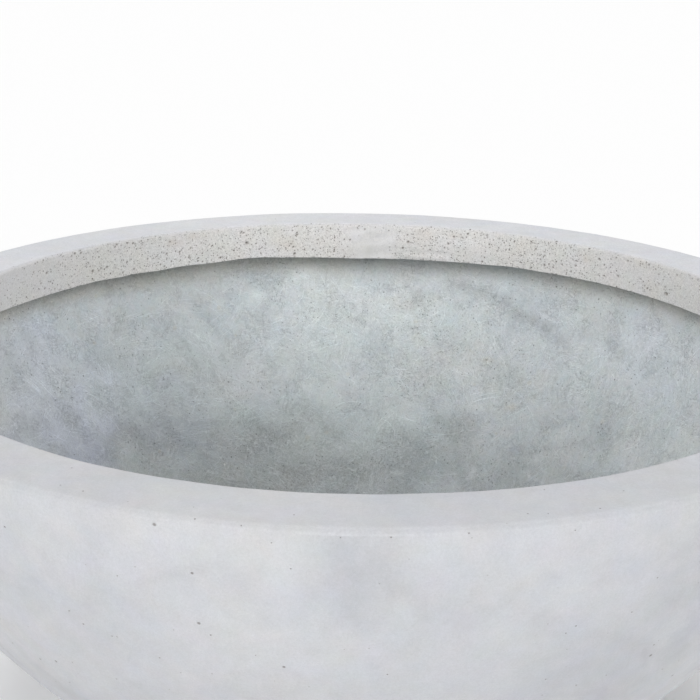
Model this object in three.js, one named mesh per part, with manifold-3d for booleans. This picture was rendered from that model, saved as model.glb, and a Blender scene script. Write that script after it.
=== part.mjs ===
// Round concrete bowl planter with a thick turned-in rim, a hand-laid fibre backing and a rubber drain plug.
// Units are millimetres, +Z is up, and the origin is the middle of the foot, on the floor.
import * as THREE from "three";
import { mergeVertices } from "three/addons/utils/BufferGeometryUtils.js";
import Module from "manifold-3d";

// ---- driving dimensions -------------------------------------------------
const RIM_R = 300; // outer radius of the rim, so the bowl is 600 across
const HEIGHT = 240; // floor to the top of the rim
const RIM_WIDTH = 39.3; // flat width of the rim, outer edge to the lip's inner face
const LIP_DEPTH = 27; // height of the lip's inner face
const FACE_COAT = 4; // dense concrete skin that shows outside, over the rim and down the lip
const WALL_BACKING = 9; // fibre-reinforced concrete behind the skin
const FLOOR_BACKING = 12.4; // the same, thicker, on the floor
const BOWL_ZC = 275.7; // height of the centre of the sphere that the outside follows
const EDGE_OUT = 3; // softened outer edge of the rim
const BOWL_R = Math.hypot(RIM_R, BOWL_ZC - HEIGHT + EDGE_OUT); // radius of that sphere
const COVE_R = 100; // sweep between the wall and the floor inside
const FLOOR_LAP_R = 110; // where the wall laminate laps the floor laminate
const EDGE_IN = 2.4; // softened inner edge of the rim
const FOOT_OUT_R = 138; // foot ring, outer radius
const FOOT_IN_R = 104; // foot ring, inner radius
const FOOT_H = 10; // foot ring, height: it lifts the drain hole off the floor
const FOOT_EDGE = 2; // bevel on the foot's edges
const WEEP_W = 30; // width of each weep notch under the foot
const WEEP_H = 4; // height of each weep notch
const WEEP_COUNT = 4;
const DRAIN_R = 12.5; // drain hole
const PLUG_TOP_R = 12; // stopper's shank under its flange
const PLUG_TIP_R = 11.2; // and at its tip
const FLANGE_R = 20;
const FLANGE_H = 4;
const TAB_L = 24; // grip tab on the stopper
const TAB_T = 5.5;
const TAB_H = 9;
const GAP = 0.3; // between pieces that touch
const SEG = 64; // steps round the bowl
const PLUG_SEG = 32;

// ---- helpers ------------------------------------------------------------
const wasm = await Module();
wasm.setup();

const rad = (d) => (d * Math.PI) / 180;

// A point of a sphere about the bowl's centre, at an angle from straight down.
const onSphere = (radius, angle) => [
  radius * Math.sin(angle),
  BOWL_ZC - radius * Math.cos(angle),
];
// The angle at which a sphere of that radius passes a height.
const angleAt = (radius, z) => Math.acos((BOWL_ZC - z) / radius);

function along(radius, angles) {
  return angles.map((a) => onSphere(radius, a));
}

// A solid of revolution about Z from a closed list of [radius, height].
function turned(points, segments = SEG) {
  let area = 0;
  points.forEach(([r, z], i) => {
    const [r2, z2] = points[(i + 1) % points.length];
    area += r * z2 - r2 * z;
  });
  const loop = area > 0 ? points.slice() : points.slice().reverse();
  const onAxis = loop.some(([r]) => r === 0);
  if (onAxis) {
    // start and end on the axis
    while (!(loop[0][0] === 0 && loop[loop.length - 1][0] === 0))
      loop.push(loop.shift());
  } else loop.push(loop[0]);
  const geometry = new THREE.LatheGeometry(
    loop.map(([r, z]) => new THREE.Vector2(r, z)),
    segments,
  );
  geometry.rotateX(Math.PI / 2);
  return solidGeometry(geometry);
}

// Position only, shared vertices merged, seam closed, slivers on the axis dropped.
function solidGeometry(geometry) {
  const g = geometry.index ? geometry.toNonIndexed() : geometry.clone();
  g.deleteAttribute("normal");
  g.deleteAttribute("uv");
  const merged = mergeVertices(g, 1e-3);
  const index = merged.index.array;
  const kept = [];
  for (let i = 0; i < index.length; i += 3) {
    const [a, b, c] = [index[i], index[i + 1], index[i + 2]];
    if (a !== b && b !== c && a !== c) kept.push(a, b, c);
  }
  merged.setIndex(kept);
  return merged;
}

function toSolid(geometry) {
  return new wasm.Manifold(
    new wasm.Mesh({
      numProp: 3,
      vertProperties: new Float32Array(geometry.getAttribute("position").array),
      triVerts: new Uint32Array(geometry.index.array),
    }),
  );
}

function toGeometry(solid) {
  const mesh = solid.getMesh();
  const position = new Float32Array(mesh.numVert * 3);
  for (let i = 0; i < mesh.numVert; i++)
    for (let k = 0; k < 3; k++)
      position[i * 3 + k] = mesh.vertProperties[i * mesh.numProp + k];
  const geometry = new THREE.BufferGeometry();
  geometry.setAttribute("position", new THREE.BufferAttribute(position, 3));
  geometry.setIndex(new THREE.BufferAttribute(new Uint32Array(mesh.triVerts), 1));
  return geometry;
}

function piece(name, geometry, colour, roughness) {
  geometry.computeVertexNormals();
  const mesh = new THREE.Mesh(
    geometry,
    new THREE.MeshStandardMaterial({
      color: new THREE.Color(...colour),
      roughness,
      metalness: 0,
    }),
  );
  mesh.name = name;
  return mesh;
}

// ---- heights and radii that several pieces share ------------------------
const lipR = RIM_R - RIM_WIDTH; // inner face of the lip
const lipZ = HEIGHT - LIP_DEPTH; // lower edge of the lip
const underZ = FOOT_H + GAP; // underside of the bowl, inside the foot ring
const skinTopZ = underZ + FACE_COAT; // top of the skin under the floor
const backZ = skinTopZ + GAP; // underside of the backing
const floorZ = backZ + FLOOR_BACKING; // inside floor
const skinInR = BOWL_R - FACE_COAT; // inside of the skin
const backOutR = skinInR - GAP; // outside of the backing
const backInR = backOutR - WALL_BACKING; // inside of the backing: the wall that shows
const rimUnderZ = HEIGHT - FACE_COAT; // underside of the skin on the rim

// One list of angles serves every sphere, so nested pieces keep their gap.
const lowAngle = angleAt(backOutR, backZ);
const lipAngle = angleAt(backOutR, lipZ);
const highAngle = angleAt(backOutR, rimUnderZ - GAP);
const STEPS = 8;
const wallAngles = [];
for (let i = 0; i <= STEPS; i++)
  wallAngles.push(lowAngle + ((lipAngle - lowAngle) * i) / STEPS);
const rimAngles = [lipAngle, highAngle];

// ---- face coat: one dense skin from the drain hole, up the outside, over the rim and down the lip ----
const outerTopAngle = angleAt(BOWL_R, HEIGHT - EDGE_OUT);
const faceCoat = turned([
  [DRAIN_R, underZ],
  onSphere(BOWL_R, angleAt(BOWL_R, underZ)),
  ...along(BOWL_R, wallAngles.slice(1)),
  onSphere(BOWL_R, outerTopAngle),
  [RIM_R - 0.9, HEIGHT - 0.9],
  [RIM_R - EDGE_OUT, HEIGHT],
  [lipR + EDGE_IN, HEIGHT],
  [lipR + 0.7, HEIGHT - 0.7],
  [lipR, HEIGHT - EDGE_IN],
  [lipR, lipZ],
  [lipR + FACE_COAT, lipZ],
  [lipR + FACE_COAT, rimUnderZ],
  onSphere(skinInR, highAngle).map((v, i) => (i === 1 ? rimUnderZ : v)),
  ...along(skinInR, wallAngles.slice(1).reverse()),
  [onSphere(skinInR, angleAt(skinInR, skinTopZ))[0], skinTopZ],
  [DRAIN_R, skinTopZ],
]);

// ---- rim core: fibre concrete packed into the hollow of the rim ----
const rimCore = turned([
  [lipR + FACE_COAT + GAP, lipZ + 1.2],
  [lipR + FACE_COAT + GAP, rimUnderZ - GAP],
  onSphere(backOutR, highAngle),
  onSphere(backOutR, lipAngle),
]);

// ---- wall backing: hand-laid fibre concrete, swept into the floor ----
const coveZ = floorZ + COVE_R;
const coveReach = backInR - COVE_R;
const coveCentreR = Math.sqrt(coveReach ** 2 - (BOWL_ZC - coveZ) ** 2);
const coveEnd = Math.atan2(coveCentreR, BOWL_ZC - coveZ); // where the sweep meets the wall, from straight down
const cove = [];
for (let i = 0; i <= 4; i++) {
  const a = (coveEnd * i) / 4;
  cove.push([coveCentreR + COVE_R * Math.sin(a), coveZ - COVE_R * Math.cos(a)]);
}
const backingTopZ = lipZ - GAP;
const wallIn = [];
const wallInTop = angleAt(backInR, backingTopZ);
for (let i = 1; i <= STEPS; i++)
  wallIn.push(onSphere(backInR, coveEnd + ((wallInTop - coveEnd) * i) / STEPS));
const wallBacking = turned([
  [FLOOR_LAP_R + GAP, backZ],
  ...along(backOutR, wallAngles.slice(0, -1)),
  [onSphere(backOutR, angleAt(backOutR, backingTopZ))[0], backingTopZ],
  ...wallIn.reverse(),
  ...cove.reverse(),
  [FLOOR_LAP_R + GAP, floorZ],
]);

// ---- floor backing: thicker laminate with the drain hole ----
const floorBacking = turned([
  [DRAIN_R, backZ],
  [FLOOR_LAP_R, backZ],
  [FLOOR_LAP_R, floorZ],
  [DRAIN_R + 1, floorZ],
  [DRAIN_R, floorZ - 1],
]);

// ---- foot ring, with weep notches so that drained water can run out ----
let footSolid = toSolid(
  turned([
    [FOOT_IN_R + FOOT_EDGE, 0],
    [FOOT_OUT_R - FOOT_EDGE, 0],
    [FOOT_OUT_R, FOOT_EDGE],
    [FOOT_OUT_R, FOOT_H],
    [FOOT_IN_R, FOOT_H],
    [FOOT_IN_R, FOOT_EDGE],
  ]),
);
for (let i = 0; i < WEEP_COUNT; i++) {
  const notch = new THREE.BoxGeometry(60, WEEP_W, 2 * WEEP_H);
  notch.translate((FOOT_IN_R + FOOT_OUT_R) / 2, 0, 0);
  notch.rotateZ(rad(45 + (360 * i) / WEEP_COUNT));
  footSolid = footSolid.subtract(toSolid(solidGeometry(notch)));
}
const footRing = toGeometry(footSolid);

// ---- drain plug: rubber stopper, pushed in from inside, with a grip tab ----
const flangeZ = floorZ + GAP;
const tipZ = underZ + 0.7;
const stopper = toSolid(
  turned(
    [
      [0, tipZ],
      [PLUG_TIP_R - 1, tipZ],
      [PLUG_TIP_R, tipZ + 1],
      [PLUG_TOP_R, flangeZ],
      [FLANGE_R - 0.6, flangeZ],
      [FLANGE_R, flangeZ + 0.8],
      [FLANGE_R, flangeZ + FLANGE_H - 1.4],
      [FLANGE_R - 1.6, flangeZ + FLANGE_H],
      [0, flangeZ + FLANGE_H],
    ],
    PLUG_SEG,
  ),
);
const tabOutline = new THREE.Shape();
tabOutline.moveTo(-TAB_L / 2, 0);
tabOutline.lineTo(TAB_L / 2, 0);
tabOutline.lineTo(TAB_L / 2, TAB_H - 3);
tabOutline.quadraticCurveTo(TAB_L / 2, TAB_H, TAB_L / 2 - 3, TAB_H);
tabOutline.lineTo(-TAB_L / 2 + 3, TAB_H);
tabOutline.quadraticCurveTo(-TAB_L / 2, TAB_H, -TAB_L / 2, TAB_H - 3);
tabOutline.closePath();
const tab = new THREE.ExtrudeGeometry(tabOutline, {
  depth: TAB_T - 1.6,
  curveSegments: 4,
  bevelEnabled: true,
  bevelThickness: 0.8,
  bevelSize: 0.8,
  bevelSegments: 1,
});
tab.translate(0, 0, -(TAB_T - 1.6) / 2);
tab.rotateX(Math.PI / 2);
tab.translate(0, 0, flangeZ + FLANGE_H - 1);
const drainPlug = toGeometry(stopper.add(toSolid(solidGeometry(tab))));

// ---- assembly -----------------------------------------------------------
const bowl = new THREE.Group();
bowl.add(
  piece("face_coat", faceCoat, [0.64, 0.635, 0.615], 0.88),
  piece("rim_core", rimCore, [0.55, 0.56, 0.55], 0.95),
  piece("wall_backing", wallBacking, [0.51, 0.545, 0.54], 0.93),
  piece("floor_backing", floorBacking, [0.49, 0.52, 0.51], 0.94),
  piece("foot_ring", footRing, [0.6, 0.595, 0.575], 0.9),
);
const plug = new THREE.Group();
plug.add(piece("drain_plug", drainPlug, [0.02, 0.02, 0.022], 0.7));

const planter = new THREE.Group();
planter.add(bowl, plug);

export default planter;
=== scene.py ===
import math

import bmesh
import bpy
import numpy as np
from mathutils import Matrix, Vector


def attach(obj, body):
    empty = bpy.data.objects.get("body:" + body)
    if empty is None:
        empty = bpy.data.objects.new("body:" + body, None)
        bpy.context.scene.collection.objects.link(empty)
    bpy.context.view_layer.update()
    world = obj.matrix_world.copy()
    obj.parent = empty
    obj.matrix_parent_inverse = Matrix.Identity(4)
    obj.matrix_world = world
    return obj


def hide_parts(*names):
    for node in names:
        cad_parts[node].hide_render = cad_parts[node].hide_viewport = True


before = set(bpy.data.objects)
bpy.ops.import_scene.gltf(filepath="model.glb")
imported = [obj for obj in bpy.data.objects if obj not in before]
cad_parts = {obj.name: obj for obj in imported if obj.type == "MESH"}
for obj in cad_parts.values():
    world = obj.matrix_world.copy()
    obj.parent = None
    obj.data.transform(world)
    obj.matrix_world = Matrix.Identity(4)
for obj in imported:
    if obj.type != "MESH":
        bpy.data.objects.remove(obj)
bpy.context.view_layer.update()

MM = 0.001
TAU = 2.0 * math.pi

# ---------------------------------------------------------------------------
# Sizes, in millimetres. They repeat the driving sizes of the CAD solids.
# ---------------------------------------------------------------------------
RIM_R, HEIGHT = 300.0, 240.0
EDGE_OUT, EDGE_IN = 3.0, 2.4
LIP_R, LIP_Z = 260.7, 213.0
BOWL_ZC = 275.7
BOWL_R = math.hypot(RIM_R, BOWL_ZC - (HEIGHT - EDGE_OUT))
WALL_R = 289.186
COVE_R, COVE_CR, COVE_CZ = 100.0, 116.96, 127.0
FLOOR_Z, UNDER_Z = 27.0, 10.3
DRAIN_R = 12.5

# ---------------------------------------------------------------------------
# Noise for the geometry
# ---------------------------------------------------------------------------


def lattice(ix, iy, iz, seed):
    h = (
        ix.astype(np.uint64) * np.uint64(73856093)
        ^ iy.astype(np.uint64) * np.uint64(19349663)
        ^ iz.astype(np.uint64) * np.uint64(83492791)
        ^ np.uint64((seed * 2654435761) & 0xFFFFFFFF)
    )
    mask = np.uint64(0xFFFFFFFF)
    h &= mask
    h = ((h ^ (h >> np.uint64(15))) * np.uint64(2246822519)) & mask
    h = ((h ^ (h >> np.uint64(13))) * np.uint64(3266489917)) & mask
    h ^= h >> np.uint64(16)
    return h.astype(np.float64) / 2147483648.0 - 1.0


TURN = np.array(Matrix.Rotation(0.7, 3, Vector((0.3, 0.8, 0.52))))


def noise(p, size, seed):
    """Smooth noise from -1 to 1 with bumps of about size, at points p (..., 3)."""
    q = (p @ TURN.T) / size + 1000.0
    cell = np.floor(q)
    f = q - cell
    cell = cell.astype(np.int64)
    w = f * f * f * (f * (f * 6 - 15) + 10)
    x, y, z = cell[..., 0], cell[..., 1], cell[..., 2]
    wx, wy, wz = w[..., 0], w[..., 1], w[..., 2]
    out = 0.0
    for dz in (0, 1):
        for dy in (0, 1):
            a = lattice(x, y + dy, z + dz, seed)
            b = lattice(x + 1, y + dy, z + dz, seed)
            out = out + (a + (b - a) * wx) * (wy if dy else 1 - wy) * (wz if dz else 1 - wz)
    return out


def fbm(p, size, octaves, seed, rough=0.5):
    total, amp, norm = 0.0, 1.0, 0.0
    for k in range(octaves):
        total = total + amp * noise(p, size * 0.5**k, seed + 17 * k)
        norm += amp
        amp *= rough
    return total / norm * 1.6


def smooth(x, a, b):
    """0 below a, 1 above b."""
    t = np.clip((x - a) / (b - a), 0.0, 1.0)
    return t * t * (3 - 2 * t)


def hump(x, centre, half):
    return np.exp(-(((x - centre) / half) ** 2))


def wrap_deg(d):
    return (d + 180.0) % 360.0 - 180.0


# ---------------------------------------------------------------------------
# Mesh building
# ---------------------------------------------------------------------------


def polar(r, theta, z):
    """theta is measured from +Y, the far side, towards +X."""
    return np.stack([r * np.sin(theta), r * np.cos(theta), z + 0 * theta], -1)


def facing(p, closed_i):
    """Normals of a grid p[j, i] of points, from its neighbours."""
    if closed_i:
        di = np.roll(p, -1, 1) - np.roll(p, 1, 1)
    else:
        di = np.gradient(p, axis=1)
    dj = np.gradient(p, axis=0)
    n = np.cross(di, dj)
    return n / np.maximum(np.linalg.norm(n, axis=-1, keepdims=True), 1e-12)


def shell(name, p, front, closed_i=True, normals=None, strips=1, attrs=None, widths=None):
    """A closed body from a grid p[j, i] in mm, whose rows run round the section and back to the first. The first `front`
    rows are what is seen. An open arc gets a flat cap at each end."""
    J, I = p.shape[:2]
    cols = I if closed_i else I - 1
    verts = (p.reshape(-1, 3) * MM).astype(np.float32)
    j = np.repeat(np.arange(J), cols)
    i = np.tile(np.arange(cols), J)
    i1, j1 = (i + 1) % I, (j + 1) % J
    quads = np.stack([j * I + i, j * I + i1, j1 * I + i1, j1 * I + i], 1)

    # The bake's map: the band is cut into strips that are stacked up the image.
    if widths is None:
        step = np.linalg.norm(np.roll(p[:, 0], -1, 0) - p[:, 0], axis=-1)
    else:
        step = np.asarray(widths, float)
    step = np.maximum(step, 0.05)
    step[front - 1 :] *= 0.06 * step[: front - 1].sum() / max(step[front - 1 :].sum(), 1e-9)
    v_at = np.concatenate([[0], np.cumsum(step)]) / step.sum()
    per = cols / strips
    strip = np.minimum((i / per).astype(int), strips - 1)
    u0, u1 = (i - strip * per) / per, (i + 1 - strip * per) / per
    pad = 0.002
    u0, u1 = pad + u0 * (1 - 2 * pad), pad + np.minimum(u1, 1) * (1 - 2 * pad)
    room = 0.985 / strips
    v0 = strip * room + pad + v_at[j] * (room - 2 * pad)
    v1 = strip * room + pad + v_at[j + 1] * (room - 2 * pad)
    uv = np.stack([np.stack([u0, v0], 1), np.stack([u1, v0], 1), np.stack([u1, v1], 1), np.stack([u0, v1], 1)], 1)

    a, b, c, d = (verts[quads[:, k]].astype(np.float64) for k in range(4))
    inside = (np.einsum("ij,ij->i", a, np.cross(b, c)) + np.einsum("ij,ij->i", a, np.cross(c, d))).sum()
    flip = inside < 0
    if normals is not None:
        normals = normals.reshape(-1, 3).copy()
        # The grid's own normals point along di x dj, as the unflipped faces do.
        if flip:
            normals = -normals
    if flip:
        quads = quads[:, ::-1]
        uv = uv[:, ::-1]

    caps = []
    if not closed_i:
        first, last = np.arange(J) * I, (np.arange(J) * I + I - 1)[::-1]
        caps = [first[::-1], last[::-1]] if flip else [first, last]

    me = bpy.data.meshes.new(name)
    me.vertices.add(len(verts))
    me.vertices.foreach_set("co", verts.ravel())
    loops = [quads.ravel()] + list(caps)
    starts = list(range(0, 4 * len(quads), 4))
    sizes = [4] * len(quads)
    at = 4 * len(quads)
    for cap in caps:
        starts.append(at)
        sizes.append(len(cap))
        at += len(cap)
    me.loops.add(at)
    me.loops.foreach_set("vertex_index", np.concatenate(loops).astype(np.int32))
    me.polygons.add(len(sizes))
    me.polygons.foreach_set("loop_start", np.array(starts, np.int32))
    me.polygons.foreach_set("loop_total", np.array(sizes, np.int32))
    me.polygons.foreach_set("use_smooth", np.ones(len(sizes), bool))
    layer = me.uv_layers.new(name="OFBake")
    flat = [uv.reshape(-1, 2)]
    for k, cap in enumerate(caps):
        q = p.reshape(-1, 3)[cap]
        rr, zz = np.hypot(q[:, 0], q[:, 1]), q[:, 2]
        rr = (rr - rr.min()) / max(np.ptp(rr), 1e-6)
        zz = (zz - zz.min()) / max(np.ptp(zz), 1e-6)
        flat.append(np.stack([0.01 + 0.4 * k + 0.3 * rr, 0.987 + 0.011 * zz], 1))
    layer.data.foreach_set("uv", np.concatenate(flat).astype(np.float32).ravel())
    for key, value in (attrs or {}).items():
        store = me.attributes.new(key, "FLOAT", "POINT")
        full = np.zeros((J, I), np.float32)
        full[: value.shape[0]] = value
        store.data.foreach_set("value", full.ravel())
    me.update()
    me.validate()
    if normals is not None:
        own = np.empty(len(verts) * 3, np.float32)
        me.vertices.foreach_get("normal", own)
        own = own.reshape(-1, 3)
        keep = front * I
        own[:keep] = normals[:keep]
        me.normals_split_custom_set_from_vertices(own)
    ob = bpy.data.objects.new(name, me)
    bpy.context.scene.collection.objects.link(ob)
    return ob


def piece(ob, material, slot, body, *nodes):
    ob.data.materials.clear()
    ob.data.materials.append(material)
    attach(ob, body)
    if nodes:
        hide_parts(*nodes)
    return ob


# ---------------------------------------------------------------------------
# Node materials
# ---------------------------------------------------------------------------


class Finish:
    """A small writer of node materials. Sizes are given in millimetres."""

    def __init__(self, name, roughness, specular=0.35):
        self.mat = bpy.data.materials.new(name)
        self.mat.use_nodes = True
        self.tree = self.mat.node_tree
        self.tree.nodes.clear()
        self.out = self.tree.nodes.new("ShaderNodeOutputMaterial")
        self.bsdf = self.tree.nodes.new("ShaderNodeBsdfPrincipled")
        self.bsdf.inputs["Roughness"].default_value = roughness
        self.bsdf.inputs["Specular IOR Level"].default_value = specular
        self.tree.links.new(self.bsdf.outputs[0], self.out.inputs["Surface"])
        self.where = self.tree.nodes.new("ShaderNodeTexCoord").outputs["Object"]
        self.heights = []

    def put(self, socket, value):
        if isinstance(value, bpy.types.NodeSocket):
            self.tree.links.new(value, socket)
        else:
            socket.default_value = value

    def math(self, kind, a, b=0.0, c=0.0, clamp=False):
        n = self.tree.nodes.new("ShaderNodeMath")
        n.operation, n.use_clamp = kind, clamp
        for k, v in enumerate((a, b, c)):
            self.put(n.inputs[k], v)
        return n.outputs[0]

    def add(self, a, b):
        return self.math("ADD", a, b)

    def mul(self, a, b):
        return self.math("MULTIPLY", a, b)

    def span(self, value, low, high, to_low=0.0, to_high=1.0, soft=True):
        n = self.tree.nodes.new("ShaderNodeMapRange")
        n.interpolation_type = "SMOOTHSTEP" if soft else "LINEAR"
        n.clamp = True
        self.put(n.inputs["Value"], value)
        n.inputs["From Min"].default_value = low
        n.inputs["From Max"].default_value = high
        n.inputs["To Min"].default_value = to_low
        n.inputs["To Max"].default_value = to_high
        return n.outputs["Result"]

    def place(self, shift=(0, 0, 0), stretch=(1, 1, 1), turn=(0, 0, 0)):
        n = self.tree.nodes.new("ShaderNodeMapping")
        self.tree.links.new(self.where, n.inputs["Vector"])
        n.inputs["Location"].default_value = shift
        n.inputs["Rotation"].default_value = turn
        n.inputs["Scale"].default_value = stretch
        return n.outputs[0]

    def noise(self, size, detail=2.0, rough=0.5, distort=0.0, shift=0.0, at=None, kind="FBM"):
        n = self.tree.nodes.new("ShaderNodeTexNoise")
        n.noise_dimensions = "3D"
        n.noise_type = kind
        n.normalize = True
        self.tree.links.new(at or self.place((shift, shift * 1.7, shift * 0.6)), n.inputs["Vector"])
        n.inputs["Scale"].default_value = 1.0 / (size * MM)
        n.inputs["Detail"].default_value = detail
        n.inputs["Roughness"].default_value = rough
        n.inputs["Distortion"].default_value = distort
        return n.outputs[0]

    def cells(self, size, shift=0.0, at=None, random=1.0, squash=None):
        """Distance in mm to the nearest of the points strewn about a size apart, and that point's own random colour."""
        n = self.tree.nodes.new("ShaderNodeTexVoronoi")
        n.voronoi_dimensions, n.feature, n.distance = "3D", "F1", "EUCLIDEAN"
        self.tree.links.new(at or self.place((shift, shift * 1.3, shift * 0.7)), n.inputs["Vector"])
        n.inputs["Scale"].default_value = 1.0 / (size * MM)
        n.inputs["Randomness"].default_value = random
        return self.mul(n.outputs["Distance"], size), n.outputs["Color"]

    def part(self, colour, k):
        n = self.tree.nodes.new("ShaderNodeSeparateColor")
        self.tree.links.new(colour, n.inputs[0])
        return n.outputs[k]

    def attribute(self, name):
        n = self.tree.nodes.new("ShaderNodeAttribute")
        n.attribute_type, n.attribute_name = "GEOMETRY", name
        return n.outputs["Fac"]

    def mix(self, fac, a, b, kind="MIX"):
        n = self.tree.nodes.new("ShaderNodeMix")
        n.data_type, n.blend_type, n.clamp_factor = "RGBA", kind, True
        self.put(n.inputs[0], fac)
        for socket, v in ((n.inputs[6], a), (n.inputs[7], b)):
            self.put(socket, v if isinstance(v, bpy.types.NodeSocket) else (*v, 1.0))
        return n.outputs[2]

    def shade(self, colour, by):
        """colour times a grey value that may pass 1."""
        n = self.tree.nodes.new("ShaderNodeVectorMath")
        n.operation = "SCALE"
        self.put(n.inputs[0], colour if isinstance(colour, bpy.types.NodeSocket) else tuple(colour))
        self.put(n.inputs["Scale"], by)
        return n.outputs[0]

    def tint(self, colour, red, blue):
        """Shifts the hue: red and blue are factors about 1."""
        n = self.tree.nodes.new("ShaderNodeCombineXYZ")
        self.put(n.inputs[0], red)
        n.inputs[1].default_value = 1.0
        self.put(n.inputs[2], blue)
        m = self.tree.nodes.new("ShaderNodeVectorMath")
        m.operation = "MULTIPLY"
        self.put(m.inputs[0], colour if isinstance(colour, bpy.types.NodeSocket) else tuple(colour))
        self.put(m.inputs[1], n.outputs[0])
        return m.outputs[0]

    def vary(self, n, amount, by):
        """Turns noise 0..1 into a factor about 1, whose swing is amount times by."""
        return self.add(self.mul(self.span(n, 0.25, 0.75, -amount, amount, soft=False), by), 1.0)

    def laid(self, turn, stretch, shift):
        """Coordinates drawn out stretch times along one direction."""
        n = self.tree.nodes.new("ShaderNodeMapping")
        n.vector_type = "TEXTURE"
        self.tree.links.new(self.where, n.inputs["Vector"])
        n.inputs["Location"].default_value = (shift, shift * 0.8, shift * 1.4)
        n.inputs["Rotation"].default_value = turn
        n.inputs["Scale"].default_value = (stretch, 1.0, 1.0)
        return n.outputs[0]

    def pits(self, size, r_low, r_high, share, shift, at=None, small=1.0):
        """Round pits: a mask that is 1 in a pit. Each point has its own radius, and only a share of them open. The
        higher small is, the more of them are small."""
        far, colour = self.cells(size, shift, at)
        draw = self.math("POWER", self.part(colour, 0), small)
        radius = self.span(draw, 0.0, 1.0, r_low, r_high, soft=False)
        there = self.math("LESS_THAN", self.part(colour, 1), share)
        radius = self.mul(radius, there)
        edge = self.math("DIVIDE", far, self.math("MAXIMUM", radius, 0.01))
        return self.span(edge, 0.55, 1.1, 1.0, 0.0)

    def lift(self, height, mm):
        """Adds a relief: height 0..1 times mm."""
        self.heights.append(self.mul(height, mm))

    def finish(self, colour, roughness=None, strength=1.0):
        self.put(self.bsdf.inputs["Base Color"], colour)
        if roughness is not None:
            self.put(self.bsdf.inputs["Roughness"], roughness)
        if self.heights:
            total = self.heights[0]
            for h in self.heights[1:]:
                total = self.add(total, h)
            n = self.tree.nodes.new("ShaderNodeBump")
            n.inputs["Strength"].default_value = strength
            n.inputs["Distance"].default_value = MM
            self.tree.links.new(total, n.inputs["Height"])
            self.tree.links.new(n.outputs[0], self.bsdf.inputs["Normal"])
        return self.mat


def swing(f, n, amount):
    """Turns noise 0..1 into a factor about 1."""
    return f.span(n, 0.25, 0.75, 1.0 - amount, 1.0 + amount, soft=False)


# ---------------------------------------------------------------------------
# Dense face concrete: the outside skin, the top of the rim and the lip
# ---------------------------------------------------------------------------


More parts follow.
